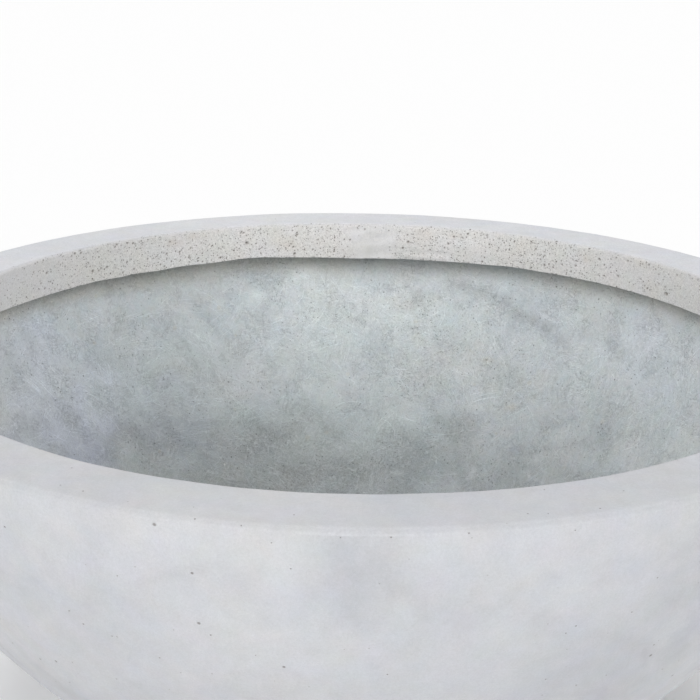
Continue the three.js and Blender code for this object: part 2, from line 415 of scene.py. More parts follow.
def face_concrete():
    f = Finish("face_concrete", 0.72, 0.3)
    lip = f.attribute("lip")  # 1 on the inner face of the rim, which was cast upright and trapped air
    pit = f.attribute("pit")
    crowd_at = f.attribute("crowd")
    smear = f.attribute("smear")  # 1 where the lip was made good with a trowel
    stain = f.attribute("stain")
    edge_shade = f.attribute("edge_shade")
    outside = f.attribute("outside")
    near = f.attribute("near")
    low = f.attribute("low")  # the lower part of the lip, which is a little darker
    damp_at = f.attribute("damp")
    bloom = f.attribute("bloom")

    cloud = f.noise(95, 4, 0.55, 0.3, 0.11)
    patch = f.noise(30, 3, 0.55, 0.2, 0.37)
    mid = f.noise(9, 3, 0.6, 0.0, 0.71)
    grain = f.noise(1.3, 2, 0.6, 0.0, 1.3)
    sand = f.noise(0.55, 1, 0.5, 0.0, 2.1)

    cool = f.mix(f.span(cloud, 0.35, 0.65), (0.590, 0.602, 0.633), (0.607, 0.614, 0.634))
    warm = f.mix(f.span(patch, 0.35, 0.65), (0.670, 0.658, 0.640), (0.655, 0.644, 0.634))
    colour = f.mix(lip, cool, warm)
    colour = f.mix(f.mul(f.span(mid, 0.5, 0.72), f.mul(lip, 0.30)), colour, (0.57, 0.552, 0.525))
    tone = f.mul(swing(f, cloud, 0.035), swing(f, patch, 0.035))
    tone = f.mul(tone, swing(f, mid, 0.035))
    coarser = f.add(f.add(f.mul(lip, 0.80), f.mul(near, -0.4)), 0.95)
    tone = f.mul(tone, f.vary(grain, 0.085, coarser))
    tone = f.mul(tone, f.vary(sand, 0.080, coarser))
    # Pale specks on the lip: painted glints
    glint_specks = f.pits(1.8, 0.28, 0.50, f.mul(lip, 0.85), 2.9)
    tone = f.mul(tone, f.add(f.mul(glint_specks, 0.09), 1.0))
    # Painted shade on the lower part of the lip
    tone = f.mul(tone, f.add(f.mul(low, -0.10), 1.0))
    # Faint darker damp clouds on the outside
    damp = f.span(f.noise(140, 5, 0.6, 0.6, 3.3), 0.48, 0.72, 1.0, 0.88)
    haze = f.span(f.noise(42, 4, 0.62, 0.8, 13.3), 0.52, 0.75, 1.0, 0.93)
    tone = f.mul(tone, f.add(f.mul(outside, f.add(f.mul(damp, haze), -1.0)), 1.0))
    # Painted shade on the rounded edges of the rim, which keeps them from showing a bright band of light
    tone = f.mul(tone, f.add(f.mul(edge_shade, -0.09), 1.0))
    # Painted shade: the near side a little darker
    tone = f.mul(tone, f.add(f.mul(near, -0.13), 1.0))
    colour = f.shade(colour, tone)
    colour = f.tint(colour, swing(f, f.noise(17, 4, 0.6, 0.2, 6.3), 0.026), swing(f, f.noise(21, 4, 0.6, 0.2, 9.3), 0.034))

    colour = f.mix(f.mul(stain, 0.42), colour, (0.575, 0.515, 0.45))
    streak = f.noise(7, 3, 0.6, 0.8, 0.0, f.place((0.3, 0.1, 0.2), (1.0, 1.0, 2.6), (0.0, 0.25, 0.0)))
    colour = f.mix(f.mul(smear, f.span(streak, 0.3, 0.7, 0.15, 0.75)), colour, (0.652, 0.648, 0.655))
    colour = f.shade(colour, f.add(f.mul(f.mul(smear, f.span(streak, 0.52, 0.66)), -0.055), 1.0))
    colour = f.mix(f.mul(damp_at, 0.9), colour, (0.535, 0.532, 0.505))
    colour = f.mix(f.mul(bloom, 0.75), colour, (0.690, 0.682, 0.705))

    # Pinholes. On the lip they are dense and in patches; elsewhere few.
    clump = f.span(f.noise(28, 3, 0.6, 0.3, 5.1), 0.38, 0.60, 0.50, 1.0)
    calm = f.math("SUBTRACT", 1.0, f.mul(smear, 0.85), clamp=True)
    on_lip = f.mul(lip, calm)
    thick = f.mul(on_lip, f.mul(clump, crowd_at))
    fine = f.pits(1.35, 0.20, 0.54, f.mul(thick, 1.0), 0.9, small=1.7)
    coarse = f.pits(3.7, 0.42, 0.80, f.mul(on_lip, f.mul(crowd_at, 0.62)), 4.4, small=1.6)
    sparse = f.pits(5.2, 0.26, 0.56, 0.30, 7.7, small=1.4)
    sparse = f.math("MAXIMUM", sparse, f.pits(9.5, 0.45, 1.10, f.mul(outside, 0.40), 1.7, small=1.6))
    hole = f.math("MAXIMUM", fine, f.math("MAXIMUM", coarse, f.mul(sparse, 0.8)))
    # Painted shade in the pinholes and in the cast pits, which are darkened
    dark = f.math("MAXIMUM", f.mul(hole, 0.78), f.mul(pit, 0.82))
    colour = f.mix(dark, colour, (0.140, 0.122, 0.104))

    f.lift(f.math("SUBTRACT", 1.0, hole), 0.30)
    f.lift(mid, 0.12)
    f.lift(grain, 0.08)
    f.lift(sand, 0.04)
    rough = f.span(f.add(f.mul(grain, 0.6), f.mul(patch, 0.4)), 0.3, 0.7, 0.62, 0.82, soft=False)
    return f.finish(colour, rough)


# ---------------------------------------------------------------------------
# Hand-laid fibre concrete of the wall and the floor
# ---------------------------------------------------------------------------


def threads(f, size, turns, width, shift, distort=0.5, gate=0.5):
    """Groups of fine, nearly parallel curved lines, as fibres that lie under a skin of cement."""
    field = f.noise(size, 1.0, 0.4, distort, shift)
    level = f.math("PINGPONG", f.mul(field, turns), 0.5)
    line = f.span(level, 0.0, width, 1.0, 0.0)
    where = f.span(f.noise(size * 0.45, 2, 0.5, 0.2, shift + 3.0), gate - 0.04, gate + 0.10)
    return f.mul(line, where)


def combed(f, turn, shift, gate, across=3.8, stretch=6.0):
    """Fine lines that run one way, each a painted highlight on one side and painted shade on the other, as on a ridge
    lit from above: returns both.
    """
    n = f.noise(across, 1.5, 0.5, 0.8, at=f.laid(turn, stretch, shift))
    where = f.span(f.noise(24, 2, 0.55, 0.5, shift + 2.0), gate, gate + 0.12)
    pale = f.span(f.math("ABSOLUTE", f.add(n, -0.535)), 0.0, 0.045, 1.0, 0.0)
    dark = f.span(f.math("ABSOLUTE", f.add(n, -0.455)), 0.0, 0.045, 1.0, 0.0)
    return f.mul(pale, where), f.mul(dark, where)


def fibre_concrete(name, base=1.0):
    f = Finish(name, 0.82, 0.22)
    tone_at = f.attribute("tone")
    blue = f.attribute("blue")
    warm = f.attribute("warm")
    green = f.attribute("green")
    tan = f.attribute("tan")
    specks = f.attribute("specks")
    coarse = f.attribute("coarse")
    under = f.attribute("under")
    fibre = f.attribute("fibre")  # more than 0 on the strands that lie in the surface
    dot = f.attribute("dot")

    cloud = f.noise(75, 4, 0.55, 0.5, 0.23)
    patch = f.noise(25, 4, 0.62, 0.6, 0.57)
    wisp = f.noise(11, 4, 0.62, 1.2, 0.83)
    curl = f.noise(4.6, 3, 0.6, 1.6, 3.83)
    grain = f.noise(1.7, 2, 0.65, 0.3, 1.1)
    sand = f.noise(0.75, 1, 0.5, 0.0, 2.7)
    wrinkle = f.span(f.math("ABSOLUTE", f.add(curl, -0.5)), 0.0, 0.035, 1.0, 0.0)
    wrinkle = f.mul(wrinkle, f.span(f.noise(19, 3, 0.6, 0.4, 8.8), 0.42, 0.62))

    colour = f.mix(f.span(cloud, 0.35, 0.65), (0.514, 0.549, 0.564), (0.540, 0.568, 0.575))
    red = f.mul(swing(f, f.noise(34, 4, 0.68, 0.4, 4.9), 0.034), swing(f, f.noise(7, 2, 0.6, 0.6, 12.9), 0.030))
    cold = f.mul(swing(f, f.noise(42, 4, 0.68, 0.4, 14.2), 0.036), swing(f, f.noise(8, 2, 0.6, 0.6, 16.4), 0.032))
    colour = f.tint(colour, red, cold)
    colour = f.mix(f.mul(blue, f.span(patch, 0.25, 0.7, 0.45, 1.0)), colour, (0.499, 0.526, 0.612))
    colour = f.mix(f.mul(green, f.span(wisp, 0.25, 0.7, 0.4, 1.0)), colour, (0.496, 0.560, 0.548))
    colour = f.mix(f.mul(warm, f.span(patch, 0.25, 0.7, 0.4, 1.0)), colour, (0.600, 0.588, 0.560))
    colour = f.mix(tan, colour, (0.600, 0.560, 0.470))

    tone = f.mul(swing(f, cloud, 0.05), swing(f, patch, 0.034))
    tone = f.mul(tone, swing(f, wisp, 0.024))
    tone = f.mul(tone, swing(f, curl, 0.018))
    busy = f.add(f.mul(coarse, 1.0), 0.68)
    tone = f.mul(tone, f.vary(grain, 0.060, busy))
    tone = f.mul(tone, f.vary(sand, 0.080, busy))
    # tone: the concrete's own patches, with painted shade beside the mat edges and just below the lip in the middle
    tone = f.mul(tone, f.add(f.mul(tone_at, 0.22), base))
    colour = f.shade(colour, tone)

    # Fibre lines just under the surface
    a = threads(f, 46, 15, 0.10, 0.31, 0.7, 0.49)
    b = threads(f, 34, 11, 0.10, 1.91, 0.8, 0.51)
    c = threads(f, 20, 8, 0.10, 2.63, 0.9, 0.52)
    line = f.math("MAXIMUM", a, f.math("MAXIMUM", b, f.mul(c, 0.8)))
    line = f.mul(line, f.span(wisp, 0.35, 0.6, 0.3, 1.0))
    pale, dark = 0.0, 0.0
    for turn, shift, gate in (
        ((0.2, 0.45, 0.3), 0.4, 0.46), ((0.1, -0.9, 1.2), 1.4, 0.47), ((0.4, 1.3, 2.2), 2.4, 0.47), ((1.1, -0.4, 2.9), 3.4, 0.46)
    ):  # fmt: skip
        one, other = combed(f, turn, shift, gate)
        pale = f.math("MAXIMUM", pale, one)
        dark = f.math("MAXIMUM", dark, other)
    web = f.add(f.mul(coarse, 0.45), 0.80)
    colour = f.mix(f.mul(f.mul(line, web), 0.30), colour, (0.70, 0.73, 0.74))
    # Painted highlight and painted shade of the combed ridges
    colour = f.mix(f.mul(f.mul(pale, web), 0.26), colour, (0.70, 0.73, 0.74))
    colour = f.shade(colour, f.add(f.mul(dark, -0.065), 1.0))
    # Painted shade in the wrinkles
    colour = f.shade(colour, f.add(f.mul(wrinkle, -0.10), 1.0))
    colour = f.shade(colour, f.add(f.mul(fibre, 0.22), 1.0))

    # Air holes darkened with painted shade, tan blots and pale specks
    crowd = f.span(f.noise(30, 3, 0.6, 0.3, 6.1), 0.46, 0.64)
    dots = f.pits(2.5, 0.32, 0.62, f.add(f.add(f.mul(crowd, 0.34), f.mul(specks, 0.75)), 0.07), 3.7, small=1.3)
    tiny = f.pits(1.35, 0.20, 0.40, f.add(f.mul(crowd, 0.34), f.mul(specks, 0.80)), 4.7)
    few = f.pits(5.6, 0.40, 0.80, f.add(f.mul(f.add(crowd, specks), 0.20), 0.06), 5.7, small=1.5)
    holes = f.math("MAXIMUM", dots, f.math("MAXIMUM", f.mul(tiny, 0.75), f.mul(few, 0.95)))
    holes = f.mul(holes, f.span(fibre, 0.0, 0.1, 1.0, 0.0))
    colour = f.mix(f.mul(holes, 0.66), colour, (0.15, 0.158, 0.152))
    # The flat patches over the air holes that stand out: painted shade
    colour = f.mix(f.mul(dot, 0.80), colour, (0.15, 0.155, 0.15))
    blots = f.pits(17.0, 0.8, 2.4, 0.4, 8.3)
    colour = f.mix(f.mul(blots, 0.22), colour, (0.58, 0.53, 0.42))
    flecks = f.pits(11.0, 0.4, 1.0, 0.4, 9.9)
    colour = f.mix(f.mul(flecks, 0.6), colour, (0.80, 0.81, 0.80))
    # Painted shade in the undercut below the lip, tinted warmer where it is deepest
    colour = f.shade(colour, f.add(f.mul(under, -0.22), 1.0))
    shade_tint = f.math("MINIMUM", under, 1.15)
    colour = f.tint(colour, f.add(f.mul(shade_tint, 0.046), 1.0), f.add(f.mul(shade_tint, -0.056), 1.0))

    f.lift(patch, 0.38)
    f.lift(wisp, 0.20)
    f.lift(curl, 0.11)
    f.lift(line, 0.16)
    f.lift(pale, 0.10)
    f.lift(dark, -0.08)
    f.lift(wrinkle, -0.14)
    f.lift(grain, 0.10)
    f.lift(sand, 0.05)
    f.lift(f.math("SUBTRACT", 1.0, holes), 0.3)
    rough = f.span(patch, 0.3, 0.7, 0.76, 0.9, soft=False)
    return f.finish(colour, rough)


def core_concrete():
    f = Finish("core_concrete", 0.86, 0.2)
    cloud = f.noise(40, 4, 0.6, 0.4, 0.5)
    mid = f.noise(6, 3, 0.6, 0.0, 1.5)
    grain = f.noise(1.5, 2, 0.6, 0.0, 2.5)
    colour = f.mix(f.span(cloud, 0.35, 0.65), (0.47, 0.48, 0.47), (0.51, 0.51, 0.495))
    colour = f.shade(colour, f.mul(swing(f, mid, 0.07), swing(f, grain, 0.08)))
    hole = f.pits(4.0, 0.3, 0.9, 0.7, 3.5)
    # Painted shade in the pits
    colour = f.mix(f.mul(hole, 0.6), colour, (0.2, 0.2, 0.19))
    f.lift(mid, 0.5)
    f.lift(grain, 0.12)
    f.lift(f.math("SUBTRACT", 1.0, hole), 0.35)
    return f.finish(colour)


def foot_concrete():
    f = Finish("foot_concrete", 0.8, 0.25)
    cloud = f.noise(50, 4, 0.6, 0.3, 0.15)
    mid = f.noise(7, 3, 0.6, 0.0, 1.15)
    grain = f.noise(1.2, 2, 0.6, 0.0, 2.15)
    colour = f.mix(f.span(cloud, 0.35, 0.65), (0.590, 0.588, 0.572), (0.612, 0.610, 0.600))
    worn = f.attribute("worn")
    scuff = f.mul(worn, f.span(mid, 0.35, 0.65, 0.45, 1.0))
    colour = f.mix(f.mul(scuff, 0.6), colour, (0.475, 0.462, 0.438))
    colour = f.shade(colour, f.mul(swing(f, mid, 0.05), swing(f, grain, 0.07)))
    hole = f.pits(5.0, 0.35, 0.95, 0.5, 3.15)
    # Painted shade in the pits
    colour = f.mix(f.mul(hole, 0.65), colour, (0.17, 0.16, 0.145))
    f.lift(mid, 0.16)
    f.lift(grain, 0.08)
    f.lift(f.math("SUBTRACT", 1.0, hole), 0.4)
    rough = f.span(f.add(mid, f.mul(worn, 0.15)), 0.3, 0.8, 0.72, 0.9, soft=False)
    return f.finish(colour, rough)


def black_rubber():
    f = Finish("plug_rubber", 0.58, 0.4)
    cloud = f.noise(14, 3, 0.5, 0.0, 0.2)
    grain = f.noise(0.5, 2, 0.6, 0.0, 0.6)
    colour = f.mix(f.span(cloud, 0.3, 0.7), (0.021, 0.021, 0.022), (0.034, 0.034, 0.034))
    dust = f.mul(f.span(f.noise(5, 4, 0.65, 0.2, 3.2), 0.48, 0.75), f.attribute("up"))
    colour = f.mix(f.mul(dust, 0.45), colour, (0.30, 0.30, 0.285))
    f.lift(grain, 0.035)
    f.lift(cloud, 0.1)
    rough = f.span(f.add(f.mul(grain, 0.4), f.mul(dust, 0.6)), 0.1, 0.7, 0.5, 0.78, soft=False)
    return f.finish(colour, rough)


FACE = face_concrete()
WALL = fibre_concrete("wall_fibre_concrete", 1.035)
FLOOR = fibre_concrete("floor_fibre_concrete", 1.0)
CORE = core_concrete()
FOOT = foot_concrete()
RUBBER = black_rubber()

# ---------------------------------------------------------------------------
# The rim: top face, inner edge, inner face of the lip, its lower edge
# ---------------------------------------------------------------------------
COLS = 3276  # half a millimetre apart on the lip
THETA = np.arange(COLS) * TAU / COLS

rows = []  # r, z, normal r, normal z
for a in np.linspace(0, 90, 8):
    c, s = math.cos(math.radians(a)), math.sin(math.radians(a))
    rows.append((RIM_R - EDGE_OUT + EDGE_OUT * c, HEIGHT - EDGE_OUT + EDGE_OUT * s, c, s))
TOP_IN = LIP_R + EDGE_IN
for r in np.linspace(RIM_R - EDGE_OUT, TOP_IN, 35)[1:]:
    rows.append((r, HEIGHT, 0.0, 1.0))
SEAM = len(rows) - 1  # the last row of the top and the first of the lip
for a in np.linspace(0, 90, 9)[1:]:
    c, s = math.cos(math.radians(a)), math.sin(math.radians(a))
    rows.append((TOP_IN - EDGE_IN * s, HEIGHT - EDGE_IN + EDGE_IN * c, -s, c))
LIP_A = len(rows) - 1
ARRIS = 0.6
for z in np.linspace(HEIGHT - EDGE_IN, LIP_Z + ARRIS, 45)[1:]:
    rows.append((LIP_R, z, -1.0, 0.0))
LIP_B = len(rows) - 1
for a in np.linspace(0, 90, 6)[1:]:
    c, s = math.cos(math.radians(a)), math.sin(math.radians(a))
    rows.append((LIP_R + ARRIS - ARRIS * c, LIP_Z + ARRIS - ARRIS * s, -c, -s))
for r in np.linspace(LIP_R + ARRIS, 265.0, 6)[1:]:
    rows.append((r, LIP_Z, 0.0, -1.0))
rows = np.array(rows)
ROWS = len(rows)
along = np.concatenate([[0], np.cumsum(np.hypot(np.diff(rows[:, 0]), np.diff(rows[:, 1])))])
s_seam, s_lip_a, s_lip_b = along[SEAM], along[LIP_A], along[LIP_B]

rim = polar(rows[:, :1], THETA[None, :], rows[:, 1:2])
out_n = np.stack(
    [rows[:, 2:3] * np.sin(THETA), rows[:, 2:3] * np.cos(THETA), rows[:, 3:4] + 0 * THETA], -1
)
deg = wrap_deg(np.degrees(THETA))[None, :]

# Low waves of the hand-finished concrete
top_w = smooth(along, 0.0, 5.0) * (1 - smooth(along, s_seam - 4.0, s_seam))
lip_w = smooth(along, s_seam, s_seam + 2.5)
push = np.zeros((ROWS, COLS))
push += top_w[:, None] * (0.16 * fbm(rim, 60, 2, 3) + 0.05 * fbm(rim, 12, 2, 5))
push += lip_w[:, None] * (0.26 * fbm(rim, 46, 2, 7) + 0.10 * fbm(rim, 10, 2, 9) + 0.035 * fbm(rim, 3.2, 2, 11))
ring_p = polar(np.array([[RIM_R]]), THETA[None, :], np.array([[HEIGHT]]))
# The edges are rubbed soft by differing amounts
edge_in = hump(along, (s_seam + s_lip_a) / 2, 1.5)[:, None]
push -= edge_in * (0.34 + 0.34 * fbm(ring_p, 24, 3, 13)).clip(0, 1.2)
edge_out = hump(along, along[4], 1.7)[:, None]
push -= edge_out * (0.25 + 0.3 * fbm(ring_p, 30, 3, 15)).clip(0, 1.0)

# The lower edge of the lip wanders up and down: the hand-trimmed line of the casting, given where it was seen
seen_edge = np.array(
    [
        (-67, -0.5), (-59, -0.8), (-51.5, -0.4), (-46.5, -0.15), (-42, -0.8), (-39.5, -0.3), (-35, -0.9), (-32.5, 0.0),
        (-30, 0.35), (-26.5, -0.2), (-24, 0.3), (-20.6, 1.25), (-17.6, 1.35), (-15, 0.7), (-11, 0.0), (-5.5, -0.55),
        (-3.0, -1.0), (1.0, -1.05), (4.5, -0.7), (7.0, -0.35), (11, -0.25), (15, -0.15), (19.5, 0.2), (22.5, 0.35),
        (26, 1.05), (31, 0.75), (36.5, 0.85), (43, 0.6), (50.5, 0.25), (58, -0.15), (67, -0.3),
    ]
)
wander = 0.62 * fbm(ring_p, 95, 3, 21)[0] + 0.12 * fbm(ring_p, 9, 2, 23)[0]
known = np.interp(deg[0], seen_edge[:, 0], seen_edge[:, 1])
soft = np.exp(-0.5 * (np.arange(-24, 25) / 8.0) ** 2)
known = np.convolve(np.pad(known, 24, mode="wrap"), soft / soft.sum(), "valid")
near_view = smooth(-np.abs(deg[0]), -72, -64)
wander = known * near_view + wander * (1 - near_view) + 0.08 * fbm(ring_p, 5, 3, 25)[0]
low_w = smooth(along, s_lip_b - 9.0, s_lip_b)
rim[..., 2] += low_w[:, None] * wander[None, :]

# A roll of concrete squeezed out above the lower edge, and one place made good with a trowel
x_on = deg * math.radians(1) * LIP_R  # mm round the lip from the far middle
bead = smooth(deg, 6.0, 9.5) * (1 - smooth(deg, 14.0, 16.0))
push += 0.55 * bead * hump(along, s_lip_b - 1.9, 1.5)[:, None]
push -= 0.35 * bead * hump(along, s_lip_b - 5.2, 1.8)[:, None]
smear = smooth(deg, -2.2, 0.4) * (1 - smooth(deg, 4.6, 6.8)) * smooth(along, s_seam + 1.0, s_seam + 5)[:, None]
smear *= 1 - 0.8 * bead
push += smear * (-0.35 + 0.22 * np.sin(along[:, None] * 0.55 + deg * 0.5))
push += 0.45 * hump(deg + 0.12 * (along[:, None] - s_lip_b), 0.2, 0.9) * lip_w[:, None]

# Pits that are big enough to be holes in the casting: (degrees from the far middle, height, radius, depth)
seen_pits = [
    (-57.2, 228.5, 0.8), (-60.0, 231.9, 0.7), (-57.8, 218.2, 0.7), (-47.8, 221.4, 1.0), (-46.2, 222.3, 0.7),
    (-45.0, 222.1, 0.8), (-42.0, 216.0, 0.7), (-41.2, 222.3, 0.6), (-50.0, 236.6, 0.8), (-51.9, 235.9, 0.7),
    (-34.9, 217.3, 0.7), (-40.9, 237.0, 0.6), (-39.9, 236.2, 0.8), (-19.5, 226.7, 1.1), (-20.0, 234.7, 0.75),
    (-24.1, 216.5, 0.8), (-11.2, 216.1, 1.0), (-31.4, 224.6, 0.8), (-29.4, 226.7, 0.7), (-10.8, 231.2, 0.75),
    (-6.6, 236.8, 0.6), (-7.2, 226.9, 0.6), (8.2, 226.6, 0.95), (7.3, 221.6, 0.85), (15.1, 227.1, 0.7),
    (16.0, 233.0, 0.8), (18.4, 236.3, 0.8), (24.8, 232.3, 0.7), (27.8, 218.4, 0.7), (21.1, 215.4, 0.8),
    (12.0, 221.3, 0.7), (11.1, 224.2, 0.6), (21.7, 236.6, 0.6), (30.5, 231.0, 0.7), (37.9, 227.0, 0.7),
    (37.1, 217.9, 0.7), (42.2, 232.0, 0.8), (43.2, 228.3, 0.7), (43.3, 220.1, 0.8), (47.7, 235.4, 0.7),
    (51.9, 236.6, 0.7), (57.9, 235.3, 0.7), (62.5, 236.9, 0.7), (55.9, 219.4, 1.3),
]  # fmt: skip
rng = np.random.default_rng(41)
s_of_z = lambda z: s_lip_a + (HEIGHT - EDGE_IN - z)
pits = [(t, s_of_z(z), r, 1.25 * r, 1.0 + 0.35 * rng.random(), rng.uniform(-0.5, 0.5)) for t, z, r in seen_pits]
for _ in range(1700):
    t = rng.uniform(-180, 180)
    s = s_seam + 1.4 + rng.random() ** 0.9 * (s_lip_b - s_seam - 1.8)
    q = polar(np.array([LIP_R]), np.radians(np.array([t])), np.array([230.0]))
    busy = 0.5 + 0.6 * float(fbm(q, 55, 2, 31)[0])
    if -60 > t > -75:
        busy -= 0.35
    if 41 < t < 75:
        busy -= 0.12
    if 0.0 < t < 6.8:
        busy -= 0.6
    if rng.random() < np.clip(busy, 0.05, 1):
        r = 0.42 + 0.40 * rng.random() ** 3.0
        pits.append((t, s, r, r * rng.uniform(0.8, 1.3), 1.0 + 0.5 * rng.random() ** 2, rng.uniform(-1.2, 1.2)))
for _ in range(200):  # nicks along the lower edge
    t = rng.uniform(-180, 180)
    r = rng.uniform(0.35, 0.75)
    pits.append((t, s_lip_b + rng.uniform(-0.6, 0.8), r, 0.45 * r, 1.0 + rng.random(), 0.0))
for _ in range(46):  # and a few small chips on it
    t = rng.uniform(-180, 180)
    if abs(t) > 66:
        r = rng.uniform(0.7, 1.7)
        pits.append((t, s_lip_b + 0.4, r, 0.26 * r, 1.0 + 1.2 * rng.random(), 0.0))
dent = np.zeros((ROWS, COLS))
# hollow masks the painted shade inside each pit
hollow = np.zeros((ROWS, COLS))
step_x = TAU * LIP_R / COLS
for t, s, r, depth, wide, lean in pits:
    big = r * wide + 0.6
    c = (t % 360.0) / 360.0 * COLS
    k = np.arange(int(math.floor(c - big / step_x)), int(math.ceil(c + big / step_x)) + 1)
    jj = np.nonzero(np.abs(along - s) < r + 0.7)[0]
    if not len(jj):
        continue
    dx = (k - c)[None, :] * step_x
    dy = (along[jj] - s)[:, None]
    dx, dy = dx * math.cos(lean) + dy * math.sin(lean), -dx * math.sin(lean) + dy * math.cos(lean)
    rho = np.sqrt((dx / (r * wide)) ** 2 + (dy / r) ** 2)
    cup = depth * np.clip(1.0 - rho**2, 0, 1) ** 0.7
    kk = k % COLS
    at = np.ix_(jj, kk)
    dent[at] = np.maximum(dent[at], cup)
    hollow[at] = np.maximum(hollow[at], np.clip(1.25 - rho, 0, 1) * min(1.0, depth / 0.55))
keep_off = smooth(along, s_seam, s_seam + 0.8)[:, None]
push -= dent * keep_off
rim = rim + out_n * push[..., None]

rim_n = facing(rim, True)
if (rim_n[SEAM // 2, 0] * out_n[SEAM // 2, 0]).sum() < 0:
    sign_rim = -1.0
else:
    sign_rim = 1.0
# Neighbouring pieces meet with the same normals, so that no line shows
sphere_n = np.array([RIM_R, HEIGHT - EDGE_OUT - BOWL_ZC]) / BOWL_R
seam_n = np.array([1.0, 0.0]) + sphere_n
seam_n /= np.linalg.norm(seam_n)
outer_seam_n = np.stack([seam_n[0] * np.sin(THETA), seam_n[0] * np.cos(THETA), seam_n[1] + 0 * THETA], -1)
rim_n[0] = outer_seam_n * sign_rim
rim_n[SEAM] = np.array([0.0, 0.0, 1.0]) * sign_rim

lip_mask = smooth(along, s_seam - 0.6, s_lip_a + 0.6)[:, None] * np.ones((1, COLS))
stains = [
    (-32.5, 232, 8, 4), (-28.5, 235, 6, 3), (16.5, 234, 7, 3), (40, 231, 6, 4), (50.5, 236, 6, 3), (-13, 226, 9, 5),
    (10, 232, 9, 5), (-110, 228, 9, 5), (150, 231, 12, 5), (95, 226, 8, 4), (-160, 233, 10, 4), (-72, 224, 8, 5),
]  # fmt: skip
stain = np.zeros((ROWS, COLS))
for t, z, wx, wy in stains:
    dx = wrap_deg(deg - t) * math.radians(1) * LIP_R
    stain = np.maximum(stain, np.exp(-((dx / wx) ** 2)) * np.exp(-(((along[:, None] - s_of_z(z)) / wy) ** 2)))
stain *= 0.5 + 0.5 * smooth(fbm(rim, 5, 2, 61), -0.3, 0.4)
# Painted shade on the rounded edges
edge_shade = np.maximum(edge_in, 0.5 * edge_out) * np.ones((1, COLS))
# Damp-looking grey places, and the lower part of the lip
damp = np.zeros((ROWS, COLS))
damp_spots = [
    (1.0, 219.5, 8, 5.5, 0.85), (3.4, 219.0, 7, 5, 0.6), (-1.6, 218.0, 7, 5, 0.35), (5.8, 218.0, 6, 5, 0.3),
    (1.7, 232.6, 4, 3.5, 0.45), (-25, 220, 9, 5, 0.2), (18, 219, 12, 5, 0.3), (33, 219, 12, 4, 0.2),
]  # fmt: skip
for _ in range(22):
    damp_spots.append((rng.uniform(68, 292), rng.uniform(215, 235), rng.uniform(5, 14), rng.uniform(3, 6), rng.uniform(0.2, 0.7)))
for t, z, wx, wy, amount in damp_spots:
    dx = wrap_deg(deg - t) * math.radians(1) * LIP_R
    spot = np.exp(-((dx / wx) ** 2)) * np.exp(-(((along[:, None] - s_of_z(z)) / wy) ** 2))
    damp = np.maximum(damp, amount * spot)
damp *= 0.75 + 0.35 * fbm(rim, 7, 2, 63)
bloom = np.zeros((ROWS, COLS))
blooms = [(-66, 226, 75, 30, 0.55), (-0.9, 229.5, 5.5, 6.0, 0.75), (-2.6, 222.5, 4.5, 4.0, 0.4), (4.6, 229.0, 7.0, 4.0, 0.3), (2.6, 223.8, 9.0, 1.3, 0.45)]
for _ in range(14):
    blooms.append((rng.uniform(68, 292), rng.uniform(217, 234), rng.uniform(4, 12), rng.uniform(1.5, 6), rng.uniform(0.2, 0.6)))
for t, z, wx, wy, amount in blooms:
    dx = wrap_deg(deg - t) * math.radians(1) * LIP_R
    dy = along[:, None] - s_of_z(z) + 0.25 * np.abs(dx) ** 1.1 / 2
    bloom = np.maximum(bloom, amount * np.exp(-((dx / wx) ** 2)) * np.exp(-((dy / wy) ** 2)))
bloom *= 0.8 + 0.3 * fbm(rim, 4, 2, 65)
# Painted shade on the lower part of the lip: given where it was seen, guessed elsewhere
low_seen = np.interp(
    deg[0], [-66, -54, -42, -28, -12, -4, 0, 7, 15, 24, 32, 44, 56, 66], [0.15, 0.35, 0.35, 0.45, 0.55, 0.85, 1.15, 1.25, 1.15, 0.95, 0.5, 0.5, 0.75, 0.8]
)
low_else = (0.55 + 0.5 * fbm(ring_p, 70, 2, 37)[0]).clip(0.1, 1.0)
low = (low_seen * near_view + low_else * (1 - near_view))[None, :] * smooth(along, s_lip_a + 2.0, s_lip_b - 2.0)[:, None]
# Where the pinholes crowd: seen on the far side, guessed elsewhere
crowd_seen = np.interp(
    deg[0], [-66, -57, -46, -40, -8, -3, 6, 9, 28, 42, 48, 66], [0.42, 0.50, 0.9, 1.0, 1.0, 0.9, 0.9, 1.0, 0.82, 0.62, 0.40, 0.32]
)
crowd_else = (0.7 + 0.5 * fbm(ring_p, 60, 2, 33)[0]).clip(0.25, 1.0)
crowd = (crowd_seen * near_view + crowd_else * (1 - near_view))[None, :] * np.ones((ROWS, 1))


def near_side_shade(p):
    """Mask of the near side, where the concrete is painted a little darker as shade and its grain is made weaker."""
    return smooth(-p[..., 1] + 22 * fbm(p, 120, 2, 35), 90, 225)


def rim_attrs(a, b, cut):
    return {
        "lip": lip_mask[a:b, cut],
        "pit": (hollow * keep_off)[a:b, cut],
        "smear": smear[a:b, cut],
        "stain": stain[a:b, cut],
        "edge_shade": edge_shade[a:b, cut],
        "crowd": crowd[a:b, cut],
        "low": low[a:b, cut],
        "damp": damp[a:b, cut],
        "bloom": bloom[a:b, cut],
        "near": near_side_shade(rim[a:b, cut]),
    }


def ring_rows(points, theta):
    return np.stack([polar(np.full_like(theta, r), theta, np.full_like(theta, z)) for r, z in points])


# Top face, every second column
half = slice(0, COLS, 2)
front = rim[: SEAM + 1, half]
back = ring_rows([(TOP_IN + 0.4, 237.0), (285.0, 235.9), (297.0, 235.4)], THETA[half])
rim_top = shell(
    "rim_top_face",
    np.concatenate([front, back]),
    SEAM + 1,
    normals=np.concatenate([rim_n[: SEAM + 1, half], np.zeros_like(back)]),
    strips=6,
    attrs=rim_attrs(0, SEAM + 1, half),
)
piece(rim_top, FACE, "face_concrete", "bowl", "face_coat")

